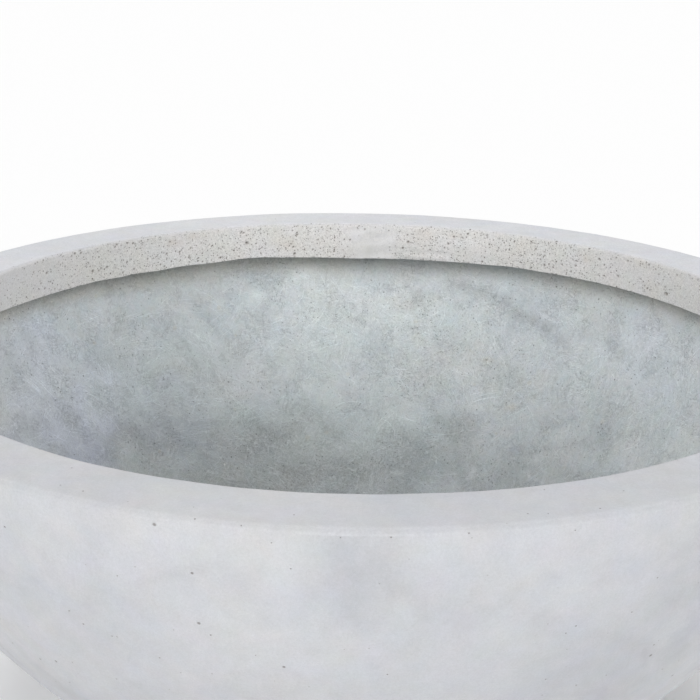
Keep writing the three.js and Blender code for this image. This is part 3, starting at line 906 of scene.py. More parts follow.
# The lip, in a far half and a near half that meet at the left and the right
quarter = COLS // 4
for name, start in (("rim_lip_far_half", -quarter), ("rim_lip_near_half", quarter)):
    cut = (np.arange(COLS // 2 + 1) + start) % COLS
    front = rim[SEAM:, cut]
    back = ring_rows([(265.2, LIP_Z + 1.7), (265.2, 234.5), (264.6, 236.4)], THETA[cut])
    lip = shell(
        name,
        np.concatenate([front, back]),
        ROWS - SEAM,
        closed_i=False,
        normals=np.concatenate([rim_n[SEAM:, cut], np.zeros_like(back)]),
        strips=5,
        attrs=rim_attrs(SEAM, ROWS, cut),
    )
    piece(lip, FACE, "face_concrete", "bowl", "face_coat")

# ---------------------------------------------------------------------------
# Outside skin
# ---------------------------------------------------------------------------
cols = 820
theta = np.arange(cols) * TAU / cols
phi_top = math.acos((BOWL_ZC - (HEIGHT - EDGE_OUT)) / BOWL_R)
FOOT_FILLET = 6.0
# Fillet between the flat underside and the round side
fz = UNDER_Z + FOOT_FILLET
fr = math.sqrt((BOWL_R - FOOT_FILLET) ** 2 - (BOWL_ZC - fz) ** 2)
phi_low = math.atan2(fr, BOWL_ZC - fz)
prof = []
for a in np.linspace(90, 0, 5):  # rounded lower end of the drain hole
    c, s = math.cos(math.radians(a)), math.sin(math.radians(a))
    prof.append((DRAIN_R + 1.0 - s, UNDER_Z + 1.0 - c))
for r in np.linspace(DRAIN_R + 1.0, fr, 24)[1:]:
    prof.append((r, UNDER_Z))
for a in np.linspace(0, math.degrees(phi_low), 6)[1:]:
    s, c = math.sin(math.radians(a)), math.cos(math.radians(a))
    prof.append((fr + FOOT_FILLET * s, fz - FOOT_FILLET * c))
for phi in np.linspace(phi_low, phi_top, 108)[1:]:
    prof.append((BOWL_R * math.sin(phi), BOWL_ZC - BOWL_R * math.cos(phi)))
prof = np.array(prof)
run = np.concatenate([[0], np.cumsum(np.hypot(np.diff(prof[:, 0]), np.diff(prof[:, 1])))])
skin = polar(prof[:, :1], theta[None, :], prof[:, 1:2])
n0 = facing(skin, True)
mid = len(prof) - 40
want = np.array([math.sin(0), math.cos(0), 0.0])
sign = 1.0 if (n0[mid, 0] * want).sum() > 0 else -1.0
fade = smooth(run, 2.0, 12.0) * (1 - smooth(run, run[-1] - 9.0, run[-1]))
wave = 0.30 * fbm(skin, 85, 2, 71) + 0.10 * fbm(skin, 22, 2, 73) + 0.03 * fbm(skin, 8, 2, 75)
skin = skin + sign * n0 * (fade[:, None] * wave)[..., None]
skin_n = facing(skin, True)
skin_n[-1] = sign * np.stack([seam_n[0] * np.sin(theta), seam_n[0] * np.cos(theta), seam_n[1] + 0 * theta], -1)
inner = [(296.0, 236.0)]
for phi in np.linspace(phi_top, phi_low, 24)[1:-1]:
    inner.append(((BOWL_R - 3.6) * math.sin(phi), BOWL_ZC - (BOWL_R - 3.6) * math.cos(phi)))
inner += [(fr, 14.0), (DRAIN_R, 14.0)]
back = ring_rows(inner, theta)
outside = shell(
    "face_coat_outside",
    np.concatenate([skin, back]),
    len(prof),
    normals=np.concatenate([skin_n, np.zeros_like(back)]),
    strips=2,
    attrs={"outside": np.ones(skin.shape[:2]), "near": near_side_shade(skin)},
)
piece(outside, FACE, "face_concrete", "bowl", "face_coat")

# ---------------------------------------------------------------------------
# Fibre concrete inside: wall, floor, underside of the lip
# ---------------------------------------------------------------------------
TURN_R = 8.0  # the laid mat turns from the wall to the underside of the lip with this radius
TURN_Z = LIP_Z + 0.4 - TURN_R
TURN_CR = math.sqrt((WALL_R - TURN_R) ** 2 - (BOWL_ZC - TURN_Z) ** 2)
PHI_A = math.atan2(TURN_CR, BOWL_ZC - TURN_Z)
PHI_B = math.atan2(COVE_CR, BOWL_ZC - COVE_CZ)
LEN_A = TURN_R * (math.pi - PHI_A)
LEN_B = WALL_R * (PHI_A - PHI_B)
LEN_C = COVE_R * PHI_B
LAP = 11.0
LEN = LEN_A + LEN_B + LEN_C + LAP


def wall_line(t):
    """Point and inward normal (r, z, nr, nz) of the inner wall, t mm down from the underside of the lip."""
    t = np.asarray(t, float)
    a = math.pi - t / TURN_R  # angle from straight down, at the turn's centre
    b = PHI_A - (t - LEN_A) / WALL_R
    c = PHI_B - (t - LEN_A - LEN_B) / COVE_R
    d = t - LEN_A - LEN_B - LEN_C
    in_a, in_b = t < LEN_A, (t >= LEN_A) & (t < LEN_A + LEN_B)
    in_c = (t >= LEN_A + LEN_B) & (t < LEN_A + LEN_B + LEN_C)
    ang = np.where(in_a, a, np.where(in_b, b, np.where(in_c, c, 0.0)))
    s, k = np.sin(ang), np.cos(ang)
    r = np.where(
        in_a, TURN_CR + TURN_R * s, np.where(in_b, WALL_R * s, np.where(in_c, COVE_CR + COVE_R * s, COVE_CR - d))
    )
    z = np.where(
        in_a, TURN_Z - TURN_R * k, np.where(in_b, BOWL_ZC - WALL_R * k, np.where(in_c, COVE_CZ - COVE_R * k, FLOOR_Z))
    )
    return r, z, -s, k


def t_of_z(z):
    """t on the round of the wall at height z."""
    return LEN_A + WALL_R * (PHI_A - math.acos((BOWL_ZC - z) / WALL_R))


# Edges of the fibre mats where they overlap: (degrees, t) to (degrees, t), height in mm
mat_edges = [
    (11.5, t_of_z(200), 36.0, t_of_z(160), 0.75), (-52.0, t_of_z(178), -30.0, t_of_z(186), 0.5),
    (-40.0, t_of_z(96), -14.0, t_of_z(84), 0.55), (20.0, t_of_z(92), 46.0, t_of_z(112), 0.5),
    (-26.0, t_of_z(150), -22.0, t_of_z(88), 0.45), (52.0, t_of_z(190), 60.0, t_of_z(110), 0.55),
]  # fmt: skip
rng = np.random.default_rng(7)
for _ in range(26):
    t0 = rng.uniform(70, 290)
    y0 = rng.uniform(20, 200)
    lean = rng.uniform(-1.2, 1.2)
    size = rng.uniform(70, 150)
    mat_edges.append(
        (t0, y0, t0 + size * math.cos(lean) / 4.6, y0 + size * math.sin(lean) * 0.7, rng.uniform(0.35, 0.8))
    )


def wall_push(deg_, t, p):
    """How far the laid surface stands in from the true round, in mm."""
    d = 0.85 * fbm(p, 62, 2, 101) + 0.25 * fbm(p, 21, 2, 103) + 0.075 * fbm(p, 7.5, 2, 105)
    for d0, y0, d1, y1, high in mat_edges:
        dx = wrap_deg(deg_ - d0) * math.radians(1) * 270.0
        ex, ey = (d1 - d0) * math.radians(1) * 270.0, y1 - y0
        length = math.hypot(ex, ey)
        ux, uy = ex / length, ey / length
        along_ = dx * ux + (t - y0) * uy
        off = -dx * uy + (t - y0) * ux + 4.0 * np.sin(along_ * 0.045 + y0) + 1.5 * np.sin(along_ * 0.17)
        ends = smooth(along_, -8, 14) * (1 - smooth(along_, length - 14, length + 8))
        d = d + high * ends * (smooth(off, -2.2, 2.2) - smooth(off, 3, 34)) * (np.abs(dx) < 260)
    return d * smooth(t, 2.0, 16.0)


def lap_edge(theta_):
    q = polar(np.full_like(theta_, COVE_CR), theta_, np.zeros_like(theta_))
    return 3.4 * fbm(q, 34, 3, 111)


cols = 900
theta = np.arange(cols) * TAU / cols
t_rows = np.concatenate(
    [np.linspace(-0.5, LEN_A, 9)[:-1], np.linspace(LEN_A, LEN_A + LEN_B, 80)[:-1], np.linspace(LEN_A + LEN_B, LEN, 33)]
)
count = len(t_rows)
edge_shift = lap_edge(theta)
tt = t_rows[:, None] + smooth(t_rows, LEN - 40, LEN)[:, None] * edge_shift[None, :]
r, z, nr, nz = wall_line(tt)
base = polar(r, theta[None, :] + 0 * r, z)
nrm = np.stack([nr * np.sin(theta), nr * np.cos(theta), nz], -1)
ddeg = wrap_deg(np.degrees(theta))[None, :] + 0 * r
high = wall_push(ddeg, tt, base)
near_end = LEN + edge_shift[None, :] - tt
proud = 1.15 * smooth(tt, LEN - 34, LEN - 16) * smooth(near_end, -0.2, 1.8)
high = high * smooth(near_end, 0, 10) + proud
wall = base + nrm * high[..., None]
wall_n = facing(wall, True)

# Broad changes of tone and hue: (degrees, height, half-width in degrees, half-height in mm, amount). The tone blobs are
# mostly the concrete's own patches; the dark ones just below the lip in the middle are painted shade, carrying on that
# of the undercut. Dark ones low on the wall make it darker towards the bottom.
blobs = {
    "tone": [
        (-5, 176, 16, 26, 0.35), (6, 168, 12, 22, 0.25), (16, 182, 10, 18, 0.25), (-44, 190, 9, 16, 0.25),
        (-26, 132, 8, 26, -0.35), (2, 62, 30, 26, -0.40), (-15, 80, 16, 24, -0.3), (-54, 132, 10, 20, -0.15),
        (28, 120, 14, 22, 0.1), (50, 180, 12, 24, 0.1), (-20, 176, 9, 16, -0.2), (33, 176, 6, 14, -0.15),
        (-55, 154, 9, 27, 0.8), (-66, 150, 7, 17, 0.3), (-28, 73, 13, 12, -0.65), (37, 80, 16, 12, -0.75),
        (-13, 106, 8, 16, 0.5), (-23, 143, 6, 24, 0.35), (-39, 93, 7, 12, -0.6), (8.5, 175, 4, 10, -0.4),
        (47, 169, 8, 18, 0.35), (23, 86, 8, 13, -0.45), (47, 104, 7, 11, -0.5), (-14, 138, 14, 24, 0.25),
        (-56, 176, 7, 12, 0.25), (-54, 124, 7, 12, 0.8), (-51, 100, 9, 9, -0.45), (45, 140, 12, 22, 0.2), (-20, 70, 22, 12, -0.3),
        (21, 140, 8, 14, -0.25), (40, 76, 14, 10, -0.3), (2, 178, 12, 8, -0.25),
        (-16, 187, 5, 8, 0.6), (-31, 176, 6, 8, -0.5), (5.5, 169, 5, 7, -0.5), (5.5, 153, 5, 6, 0.35), (56, 206, 5, 7, -0.45),
        (-54, 179, 6, 7, 0.4), (43, 161, 5, 7, -0.45), (-9, 120, 5, 8, 0.4), (38, 122, 6, 10, -0.45), (-63, 133, 4, 9, -0.45),
        (5, 168, 9, 11, -0.35), (-17, 187, 6, 8, 0.45), (42, 159, 6, 8, -0.15), (-59, 141, 6, 9, 0.35), (15, 84, 8, 14, 0.4),
        (1, 122, 9, 9, -0.3), (-2, 188, 12, 8, -0.25), (16, 188, 7, 7, -0.1), (47, 166, 5, 12, 0.4), (56, 200, 6, 9, -0.3), (-8, 120, 4, 7, 0.3), (-58, 112, 8, 12, -0.4), (38, 100, 6, 10, -0.4),
        (-50, 118, 8, 10, 0.3), (-44, 92, 12, 10, -0.6), (-20, 64, 40, 8, -0.35), (20, 66, 30, 8, -0.4), (62, 120, 14, 14, -0.3), (14, 94, 5, 8, 0.4),
    ],
    "blue": [(-66, 138, 9, 22, 1.0), (-58, 122, 9, 14, 0.7), (-46, 110, 9, 14, 0.6), (-57, 172, 5, 8, 0.35), (-33, 118, 5, 5, 0.5), (52, 165, 14, 30, 0.35), (-34, 92, 8, 10, 0.5),
        (-63, 170, 9, 26, 0.4), (-32, 112, 10, 14, 0.5), (-46, 140, 9, 20, 0.35), (-28, 138, 14, 12, 0.25), (-62, 105, 12, 16, 0.5), (-66, 122, 9, 16, 0.5), (-67, 145, 6, 16, 0.4)],
    "warm": [(5, 172, 11, 18, 0.28), (-12, 66, 14, 18, 0.4), (24, 138, 7, 12, 0.25), (-26, 130, 10, 18, 0.25)],
    "green": [(-37, 130, 9, 26, 0.8), (-18, 92, 14, 22, 0.6), (10, 82, 16, 24, 0.5), (-8, 150, 9, 18, 0.4)],
    "specks": [
        (6, 170, 9, 14, 0.7), (-26, 128, 6, 16, 0.75), (-12, 64, 14, 14, 0.8), (20, 70, 14, 16, 0.5), (-35, 96, 8, 10, 0.45),
        (22, 146, 9, 16, 0.5), (18, 168, 8, 10, 0.3),
    ],
    "coarse": [
        (-10, 62, 40, 34, 1.0), (18, 150, 20, 44, 0.75), (-22, 132, 12, 30, 0.4), (-2, 170, 14, 24, 0.5), (-55, 130, 22, 50, 0.38),
        (-12, 62, 26, 22, 0.55),
    ],
}  # fmt: skip
rng = np.random.default_rng(19)
for key, most, n in (("tone", 0.4, 26), ("blue", 0.7, 9), ("warm", 0.45, 8), ("green", 0.6, 12), ("specks", 0.8, 12), ("coarse", 1.0, 14)):
    for _ in range(n):
        amount = rng.uniform(-most, most) if key == "tone" else rng.uniform(0.3, most)
        blobs[key].append((rng.uniform(70, 290), rng.uniform(45, 200), rng.uniform(7, 15), rng.uniform(14, 28), amount))


# Narrow bands of painted shade beside the edges of the mats: (degrees, height) to (degrees, height), half-width in mm,
# amount
shade_bands = [
    (14.5, 199, 26, 181, 5.2, 1.25), (26, 181, 37, 160, 4.6, 0.95), (-43, 170, -31, 178, 3.0, 0.4),
    (-28, 152, -24, 104, 3.6, 0.4), (-36, 99, -22, 96, 3.0, 0.35),
]  # fmt: skip
# Tan blots: (degrees, height, half-width and half-height in mm, amount)
tans = [(23.1, 139.2, 5.0, 2.2, 0.55), (29.7, 110.8, 5.5, 2.4, 0.45), (5.2, 176.0, 5.0, 3.0, 0.18), (13.0, 180.0, 4.0, 3.0, 0.2)]
for _ in range(16):
    tans.append((rng.uniform(70, 290), rng.uniform(45, 195), rng.uniform(2, 6), rng.uniform(1.5, 3), rng.uniform(0.15, 0.5)))


def hues(p):
    """The broad changes at points p, in mm."""
    d = np.degrees(np.arctan2(p[..., 0], p[..., 1]))
    h = p[..., 2]
    warp_a, warp_b = 7.0 * fbm(p, 30, 2, 131), 14.0 * fbm(p, 34, 2, 133)
    out = {}
    for key, spots in blobs.items():
        total = np.zeros(p.shape[:-1])
        for t, zz, w, k, amount in spots:
            total += amount * np.exp(-((wrap_deg(d + warp_a - t) / w) ** 2) - ((h + warp_b - zz) / k) ** 2)
        if key == "tone":
            # Painted shade beside the edges of the mats
            for t0, z0, t1, z1, half, amount in shade_bands:
                x, y = wrap_deg(d - t0) * math.radians(1) * 280.0, (z0 - h) * 1.06
                ex, ey = (t1 - t0) * math.radians(1) * 280.0, (z0 - z1) * 1.06
                size = math.hypot(ex, ey)
                run_at = (x * ex + y * ey) / size
                off = (y * ex - x * ey) / size + 2.2 * np.sin(run_at * 0.07 + z0) - 3.0
                ends = smooth(run_at, -6, 8) * (1 - smooth(run_at, size - 8, size + 6))
                total -= amount * ends * np.exp(-((off / half) ** 2)) * (0.88 + 0.25 * noise(p, 9, 139))
            out[key] = np.clip(total, -1.0, 1.1)
        else:
            out[key] = np.clip(total, 0, 1.6 if key == "coarse" else 1)
    out["tan"] = np.zeros(p.shape[:-1])
    for t, zz, w, k, amount in tans:
        x = wrap_deg(d - t) * math.radians(1) * 270.0 + 2.0 * noise(p, 6, 137)
        out["tan"] = np.maximum(out["tan"], amount * np.exp(-((x / w) ** 2) - ((h + 1.2 * noise(p, 5, 138) - zz) / k) ** 2))
    return out


wall_attrs = hues(wall)


def undercut_shade(deg_, t):
    """Painted shade in the undercut below the lip: more on the left than on the right."""
    much = np.interp(
        wrap_deg(deg_), [-180, -90, -68, -50, -36, -26, -5, 0, 8, 24, 35, 50, 66, 90, 180], [1, 1.2, 1.8, 1.9, 1.85, 1.3, 1.1, 1.15, 0.70, 0.75, 1.1, 1.25, 1.25, 1, 1]
    )
    reach = np.interp(wrap_deg(deg_), [-70, -60, -50, -30, -20, -10, -3, 7, 14, 180], [26, 27, 29, 31, 27, 27, 36, 36, 27, 27])
    return much * (1 - smooth(t, LEN_A - 4, reach))


# Painted shade below the lip, on the wall
wall_attrs["under"] = undercut_shade(ddeg, tt)
back = np.stack(
    [polar(LEN * 0 + COVE_CR - LAP - edge_shift, theta, np.full(cols, 25.6))]
    + [polar(np.full(cols, v[0]), theta, np.full(cols, v[1])) for v in ((122.0, 24.0), (150.0, 28.0), (190.0, 46.0), (232.0, 92.0), (270.0, 150.0), (292.0, 206.0), (292.0, LIP_Z + 1.2))]
)
wall_ob = shell(
    "wall_backing_laid",
    np.concatenate([wall, back]),
    count,
    normals=np.concatenate([wall_n, np.zeros_like(back)]),
    strips=2,
    attrs=wall_attrs,
)
piece(wall_ob, WALL, "wall_fibre_concrete", "bowl", "wall_backing")

# Underside of the lip
cols = 720
theta = np.arange(cols) * TAU / cols
prof = [(r, LIP_Z + 1.6 - 1.2 * float(smooth(np.array(r), 264, 274))) for r in np.linspace(263.6, 288.0, 22)]
low = ring_rows(prof, theta)
low[..., 2] += 0.35 * fbm(low, 12, 3, 141) * smooth(np.array([p[0] for p in prof]), 264, 267)[:, None]
back = ring_rows([(288.0, LIP_Z + 7.2), (263.9, LIP_Z + 7.2)], theta)
core = shell("rim_core_underside", np.concatenate([low, back]), len(prof), strips=6, normals=np.concatenate([facing(low, True), np.zeros_like(back)]))
piece(core, CORE, "core_concrete", "bowl", "rim_core")

# Floor, with the drain hole
cols = 400
theta = np.arange(cols) * TAU / cols
prof = [(DRAIN_R, 14.3), (DRAIN_R, 18.0), (DRAIN_R, 22.0), (DRAIN_R, 25.2)]
for a in np.linspace(0, 90, 6):
    c, s = math.cos(math.radians(a)), math.sin(math.radians(a))
    prof.append((DRAIN_R + 1.3 - 1.3 * c, FLOOR_Z - 1.3 + 1.3 * s))
prof += [(r, FLOOR_Z) for r in np.linspace(DRAIN_R + 1.3, 119.0, 84)[1:]]
prof = np.array(prof)
floor = polar(prof[:, :1], theta[None, :], prof[:, 1:2])
flat = smooth(prof[:, 0], DRAIN_R + 0.5, DRAIN_R + 14)[:, None]
floor[..., 2] += flat * (-0.25 + 0.5 * fbm(floor, 48, 2, 151) + 0.2 * fbm(floor, 14, 2, 153) + 0.1 * fbm(floor, 6, 2, 155))
chip = hump(np.arange(len(prof)), 6.5, 2.2)[:, None] * (0.25 + 0.5 * fbm(floor, 5, 2, 157)).clip(0, 1)
floor[..., 2] -= 0.5 * chip
floor_n = facing(floor, True)
back = ring_rows([(119.0, 16.0), (60.0, 15.0)], theta)
floor_ob = shell(
    "floor_backing_laid",
    np.concatenate([floor, back]),
    len(prof),
    normals=np.concatenate([floor_n, np.zeros_like(back)]),
    strips=2,
    attrs=hues(floor),
)
piece(floor_ob, FLOOR, "floor_fibre_concrete", "bowl", "floor_backing")

# ---------------------------------------------------------------------------
# Strands of glass fibre that lie in the surface of the wall and floor
# ---------------------------------------------------------------------------


def on_wall(deg_, t):
    """Points and normals of the laid surface, in mm."""
    th = np.radians(deg_)
    r, z, nr, nz = wall_line(t)
    p = polar(r, th, z)
    n = np.stack([nr * np.sin(th), nr * np.cos(th), nz + 0 * th], -1)
    return p + n * wall_push(wrap_deg(deg_), t, p)[..., None], n, r


STEPS = 7


def strands(seed, groups, singles, region, seen=()):
    """Centre lines [strand, step] as (degrees, t), with widths and heights."""
    rng = np.random.default_rng(seed)
    lines = []

    def one(d, t, ang, bend, length, width, high):
        s = np.linspace(-0.5, 0.5, STEPS) * length
        a = ang + bend * s + 0.12 * np.sin(s * 0.5 + rng.uniform(0, 6))
        step = length / (STEPS - 1)
        x = np.concatenate([[0], np.cumsum(np.cos(a[1:]) * step)])
        y = np.concatenate([[0], np.cumsum(np.sin(a[1:]) * step)])
        x, y = x - x.mean(), y - y.mean()
        r = max(float(wall_line(np.array([t]))[0][0]), 60.0)
        lines.append((d + np.degrees(x / r), t + y, width, high))

    for d, t, ang, bend, length, width, high in seen:
        one(d, t, ang, bend, length, width, high)
    for _ in range(groups):
        d, t = rng.uniform(-180, 180), region[0] + rng.random() ** 0.85 * (region[1] - region[0])
        ang = rng.uniform(0, math.pi)
        bend = rng.choice([-1, 1]) * rng.uniform(0.0, 0.055)
        n = int(rng.integers(3, 9))
        gap = rng.uniform(1.1, 3.2)
        r = max(float(wall_line(np.array([t]))[0][0]), 60.0)
        for k in range(n):
            off = (k - n / 2) * gap + rng.normal(0, 0.5)
            slide = rng.normal(0, 4.0)
            one(
                d + np.degrees((-math.sin(ang) * off + math.cos(ang) * slide) / r),
                t + math.cos(ang) * off + math.sin(ang) * slide,
                ang + rng.normal(0, 0.07),
                bend + rng.normal(0, 0.006),
                rng.uniform(12, 30),
                rng.uniform(0.45, 0.95),
                rng.uniform(0.07, 0.18),
            )
    for _ in range(singles):
        one(
            rng.uniform(-180, 180),
            region[0] + rng.random() ** 0.85 * (region[1] - region[0]),
            rng.uniform(0, math.pi),
            rng.normal(0, 0.04),
            rng.uniform(9, 30),
            rng.uniform(0.4, 1.0),
            rng.uniform(0.07, 0.2),
        )
    return lines


def strand_mesh(name, lines, place, keep, standout=0, undercut_shade_at=None, dots=0):
    d = np.array([l[0] for l in lines])
    t = np.array([l[1] for l in lines])
    width = np.array([l[2] for l in lines])
    high = np.array([l[3] for l in lines])
    pale = 0.20 + 0.80 * np.random.default_rng(len(lines)).random(len(lines)) ** 1.4
    pale[:standout] = 1.0
    pale[:dots] = 0.0
    dot = (np.arange(len(lines)) < dots).astype(float)
    ok = keep(d, t)
    d, t, width, high = d[ok], t[ok], width[ok], high[ok]
    n = len(d)
    p, nrm, r = place(d, t)
    run_ = np.gradient(p, axis=1)
    run_ /= np.maximum(np.linalg.norm(run_, axis=-1, keepdims=True), 1e-9)
    side = np.cross(nrm, run_)
    side /= np.maximum(np.linalg.norm(side, axis=-1, keepdims=True), 1e-9)
    s = np.linspace(-1, 1, STEPS)
    taper = np.clip(1.15 - 0.75 * np.abs(s) ** 3, 0.3, 1)[None, :, None]
    w = (width[:, None, None] * 0.5) * taper
    h = high[:, None, None] * taper
    left, right = p + side * w - nrm * 0.10, p - side * w - nrm * 0.10
    crown = p + nrm * h
    keel = p - nrm * 0.28
    v = np.stack([left, crown, right, keel], 2)  # strand, step, corner
    verts = (v.reshape(-1, 3) * MM).astype(np.float32)
    base_i = (np.arange(n) * STEPS * 4)[:, None, None]
    step_i = (np.arange(STEPS - 1) * 4)[None, :, None]
    corner = np.arange(4)[None, None, :]
    a = base_i + step_i + corner
    b = base_i + step_i + (corner + 1) % 4
    quads = np.stack([a, b, b + 4, a + 4], -1).reshape(-1, 4)
    first = np.stack([base_i[:, 0, 0] + k for k in (3, 2, 1, 0)], -1)
    last = np.stack([base_i[:, 0, 0] + (STEPS - 1) * 4 + k for k in (0, 1, 2, 3)], -1)
    faces = np.concatenate([quads, first, last])
    a_, b_, c_, d_ = (verts[faces[:, k]].astype(np.float64) for k in range(4))
    volume = (np.einsum("ij,ij->i", a_, np.cross(b_, c_)) + np.einsum("ij,ij->i", a_, np.cross(c_, d_))).sum()
    if volume < 0:
        faces = faces[:, ::-1]
    me = bpy.data.meshes.new(name)
    me.vertices.add(len(verts))
    me.vertices.foreach_set("co", verts.ravel())
    me.loops.add(faces.size)
    me.loops.foreach_set("vertex_index", faces.ravel().astype(np.int32))
    me.polygons.add(len(faces))
    me.polygons.foreach_set("loop_start", np.arange(0, faces.size, 4, dtype=np.int32))
    me.polygons.foreach_set("loop_total", np.full(len(faces), 4, np.int32))
    me.polygons.foreach_set("use_smooth", np.ones(len(faces), bool))
    # Each strand has a cell of the bake's map, and lies along it
    side_n = int(math.ceil(math.sqrt(n)))
    cell = 1.0 / side_n
    local = np.zeros((STEPS, 4, 2))
    local[..., 0] = np.linspace(0.12, 0.88, STEPS)[:, None]
    local[..., 1] = np.array([0.15, 0.6, 0.85, 0.4])[None, :]
    k = np.arange(n)
    corner_uv = np.stack([(k % side_n) * cell, (k // side_n) * cell], -1)[:, None, None, :] + local[None] * cell
    layer = me.uv_layers.new(name="OFBake")
    layer.data.foreach_set("uv", corner_uv.reshape(-1, 2)[faces.ravel()].astype(np.float32).ravel())
    tints = {k: v.reshape(-1) for k, v in hues(p).items() if k != "specks"}
    tints["fibre"] = np.repeat(pale[ok], STEPS)
    tints["dot"] = np.repeat(dot[ok], STEPS)
    # The strands get the same painted shade below the lip
    tints["under"] = (undercut_shade_at(d, t) if undercut_shade_at else np.zeros_like(t)).reshape(-1)
    for key, value in tints.items():
        store = me.attributes.new(key, "FLOAT", "POINT")
        store.data.foreach_set("value", np.repeat(value, 4).astype(np.float32))
    me.update()
    me.validate()
    ob = bpy.data.objects.new(name, me)
    bpy.context.scene.collection.objects.link(ob)
    return ob


# Air holes that stand out, laid as flat patches darkened with painted shade: (degrees, height, radius)
seen_dots = [
    (21.1, 143.2, 0.75), (24.5, 154.2, 0.60), (25.2, 136.7, 0.60), (23.4, 142.1, 0.50), (19.1, 128.6, 0.55), (38.7, 153.5, 0.55),
    (18.7, 182.0, 0.55), (29.2, 177.6, 0.50), (34.2, 175.6, 0.50), (14.2, 185.4, 0.45), (16.0, 159.7, 0.50), (29.9, 143.3, 0.45),
    (27.4, 152.3, 0.45), (9.0, 156.3, 0.60), (25.7, 105.0, 0.60), (17.7, 110.3, 0.70), (12.2, 140.0, 0.50), (-26.0, 133.2, 0.50),
    (-32.4, 132.6, 0.50), (1.0, 166.6, 0.60), (3.6, 162.5, 0.50), (5.6, 170.2, 0.50), (13.7, 145.5, 0.50), (33.2, 137.4, 0.50),
    (12.6, 69.0, 0.55), (7.9, 82.1, 0.50),
]  # fmt: skip
# Strands that stand out: (degrees, t, angle, bend, length, width, height)
seen_strands = [
    (-57.4, t_of_z(157), 0.75, 0.0, 24, 0.9, 0.3), (-58.2, t_of_z(155), 0.80, 0.0, 20, 0.7, 0.25),
    (-61.8, t_of_z(131), -0.75, 0.01, 26, 0.9, 0.3), (-69.5, t_of_z(133), -0.7, 0.0, 24, 0.9, 0.3),
    (-39.2, t_of_z(154), -0.12, 0.006, 30, 0.8, 0.28), (-40.4, t_of_z(177), -0.15, 0.005, 26, 0.7, 0.22),
    (-67.6, t_of_z(144), 0.1, 0.12, 22, 1.0, 0.3), (-37.6, t_of_z(89), 0.35, -0.09, 20, 0.8, 0.26),
    (-36.8, t_of_z(86), 0.35, -0.07, 24, 0.8, 0.26), (-36.0, t_of_z(83), 0.35, -0.06, 26, 0.7, 0.24),
    (16.0, t_of_z(87), 0.05, -0.03, 32, 1.3, 0.5), (35.1, t_of_z(156), -0.5, 0.10, 14, 0.9, 0.35),
    (36.7, t_of_z(151), -0.4, 0.12, 14, 0.9, 0.35), (-13.8, t_of_z(144), 1.2, 0.0, 3.5, 1.8, 0.4),
    (-14.2, t_of_z(90), 0.6, 0.0, 3.5, 1.8, 0.4), (0.5, t_of_z(69), 0.2, 0.0, 4.0, 1.8, 0.4),
    (-42.0, t_of_z(120), 0.1, 0.035, 34, 0.8, 0.28), (-41.0, t_of_z(117), 0.2, 0.035, 34, 0.8, 0.28),
    (-44.0, t_of_z(124), 0.0, 0.035, 30, 0.8, 0.28), (-10.0, t_of_z(120), -0.7, 0.01, 22, 0.8, 0.25),
    (7.0, t_of_z(112), -0.8, -0.02, 26, 0.8, 0.26), (30.0, t_of_z(120), 0.3, 0.03, 26, 0.8, 0.26),
]  # fmt: skip
rng = np.random.default_rng(307)
for t0, z0, t1, z1, _, _ in shade_bands:  # combed along the edges of the mats
    for _ in range(11):
        k = rng.random()
        seen_strands.append(
            (
                t0 + (t1 - t0) * k + rng.normal(0, 1.0), t_of_z(z0 + (z1 - z0) * k) + rng.normal(2, 4.5),
                math.atan2((z0 - z1) * 1.06, (t1 - t0) * 4.9) + rng.normal(0, 0.16), rng.normal(0, 0.012),
                rng.uniform(14, 32), rng.uniform(0.5, 0.75), rng.uniform(0.10, 0.22),
            )
        )  # fmt: skip
# Groups of strands that lie side by side: (degrees, height, angle, bend, length, how many, gap)
swirls = [
    (-46.2, 141.9, 1.70, 0.045, 23, 6, 1.9), (-50.2, 127.8, 0.75, -0.012, 36, 7, 1.7), (-69.1, 133.1, -0.09, 0, 18, 2, 3.5), (-61.8, 131.9, -0.38, 0, 18, 2, 3.0),
    (-28.6, 110.2, 0.17, 0.004, 61, 5, 2.4), (-23.6, 114.4, -0.21, 0, 26, 2, 2.6), (-32.1, 94.1, 0.04, 0.008, 28, 5, 2.0), (-25.1, 81.5, -0.00, 0.014, 51, 4, 2.2),
    (-22.0, 95.5, -0.41, 0.02, 41, 7, 2.2), (-38.1, 154.6, 0.11, 0.008, 37, 4, 2.2), (-22.5, 145.0, 1.72, 0, 15, 3, 2.6), (-38.2, 104.9, -0.10, 0.05, 27, 4, 2.0),
    (-14.8, 159.1, -0.25, -0.01, 33, 6, 2.0), (-8.2, 164.5, -0.91, -0.012, 31, 6, 2.2), (-6.8, 142.7, -0.32, 0.01, 36, 5, 2.2), (7.3, 126.1, 0.62, -0.03, 27, 4, 2.2),
    (24.6, 115.2, -0.39, 0.02, 30, 5, 2.2), (43.7, 163.1, -0.44, -0.03, 23, 4, 2.0), (51.8, 181.3, 0.08, 0.01, 29, 4, 2.4), (41.8, 129.7, -0.53, -0.012, 35, 4, 2.4),
    (-0.8, 80.5, 0.57, 0.03, 25, 4, 2.2), (16.4, 84.0, -0.26, 0.01, 26, 4, 2.0), (-17.7, 73.5, -0.34, -0.02, 28, 4, 2.2), (-61.5, 153.1, 0.94, 0.02, 26, 5, 2.0),
    (-38.3, 127.9, -0.11, 0.03, 27, 5, 1.9), (-57.0, 112.5, 0.52, -0.01, 33, 4, 2.2),
]  # fmt: skip
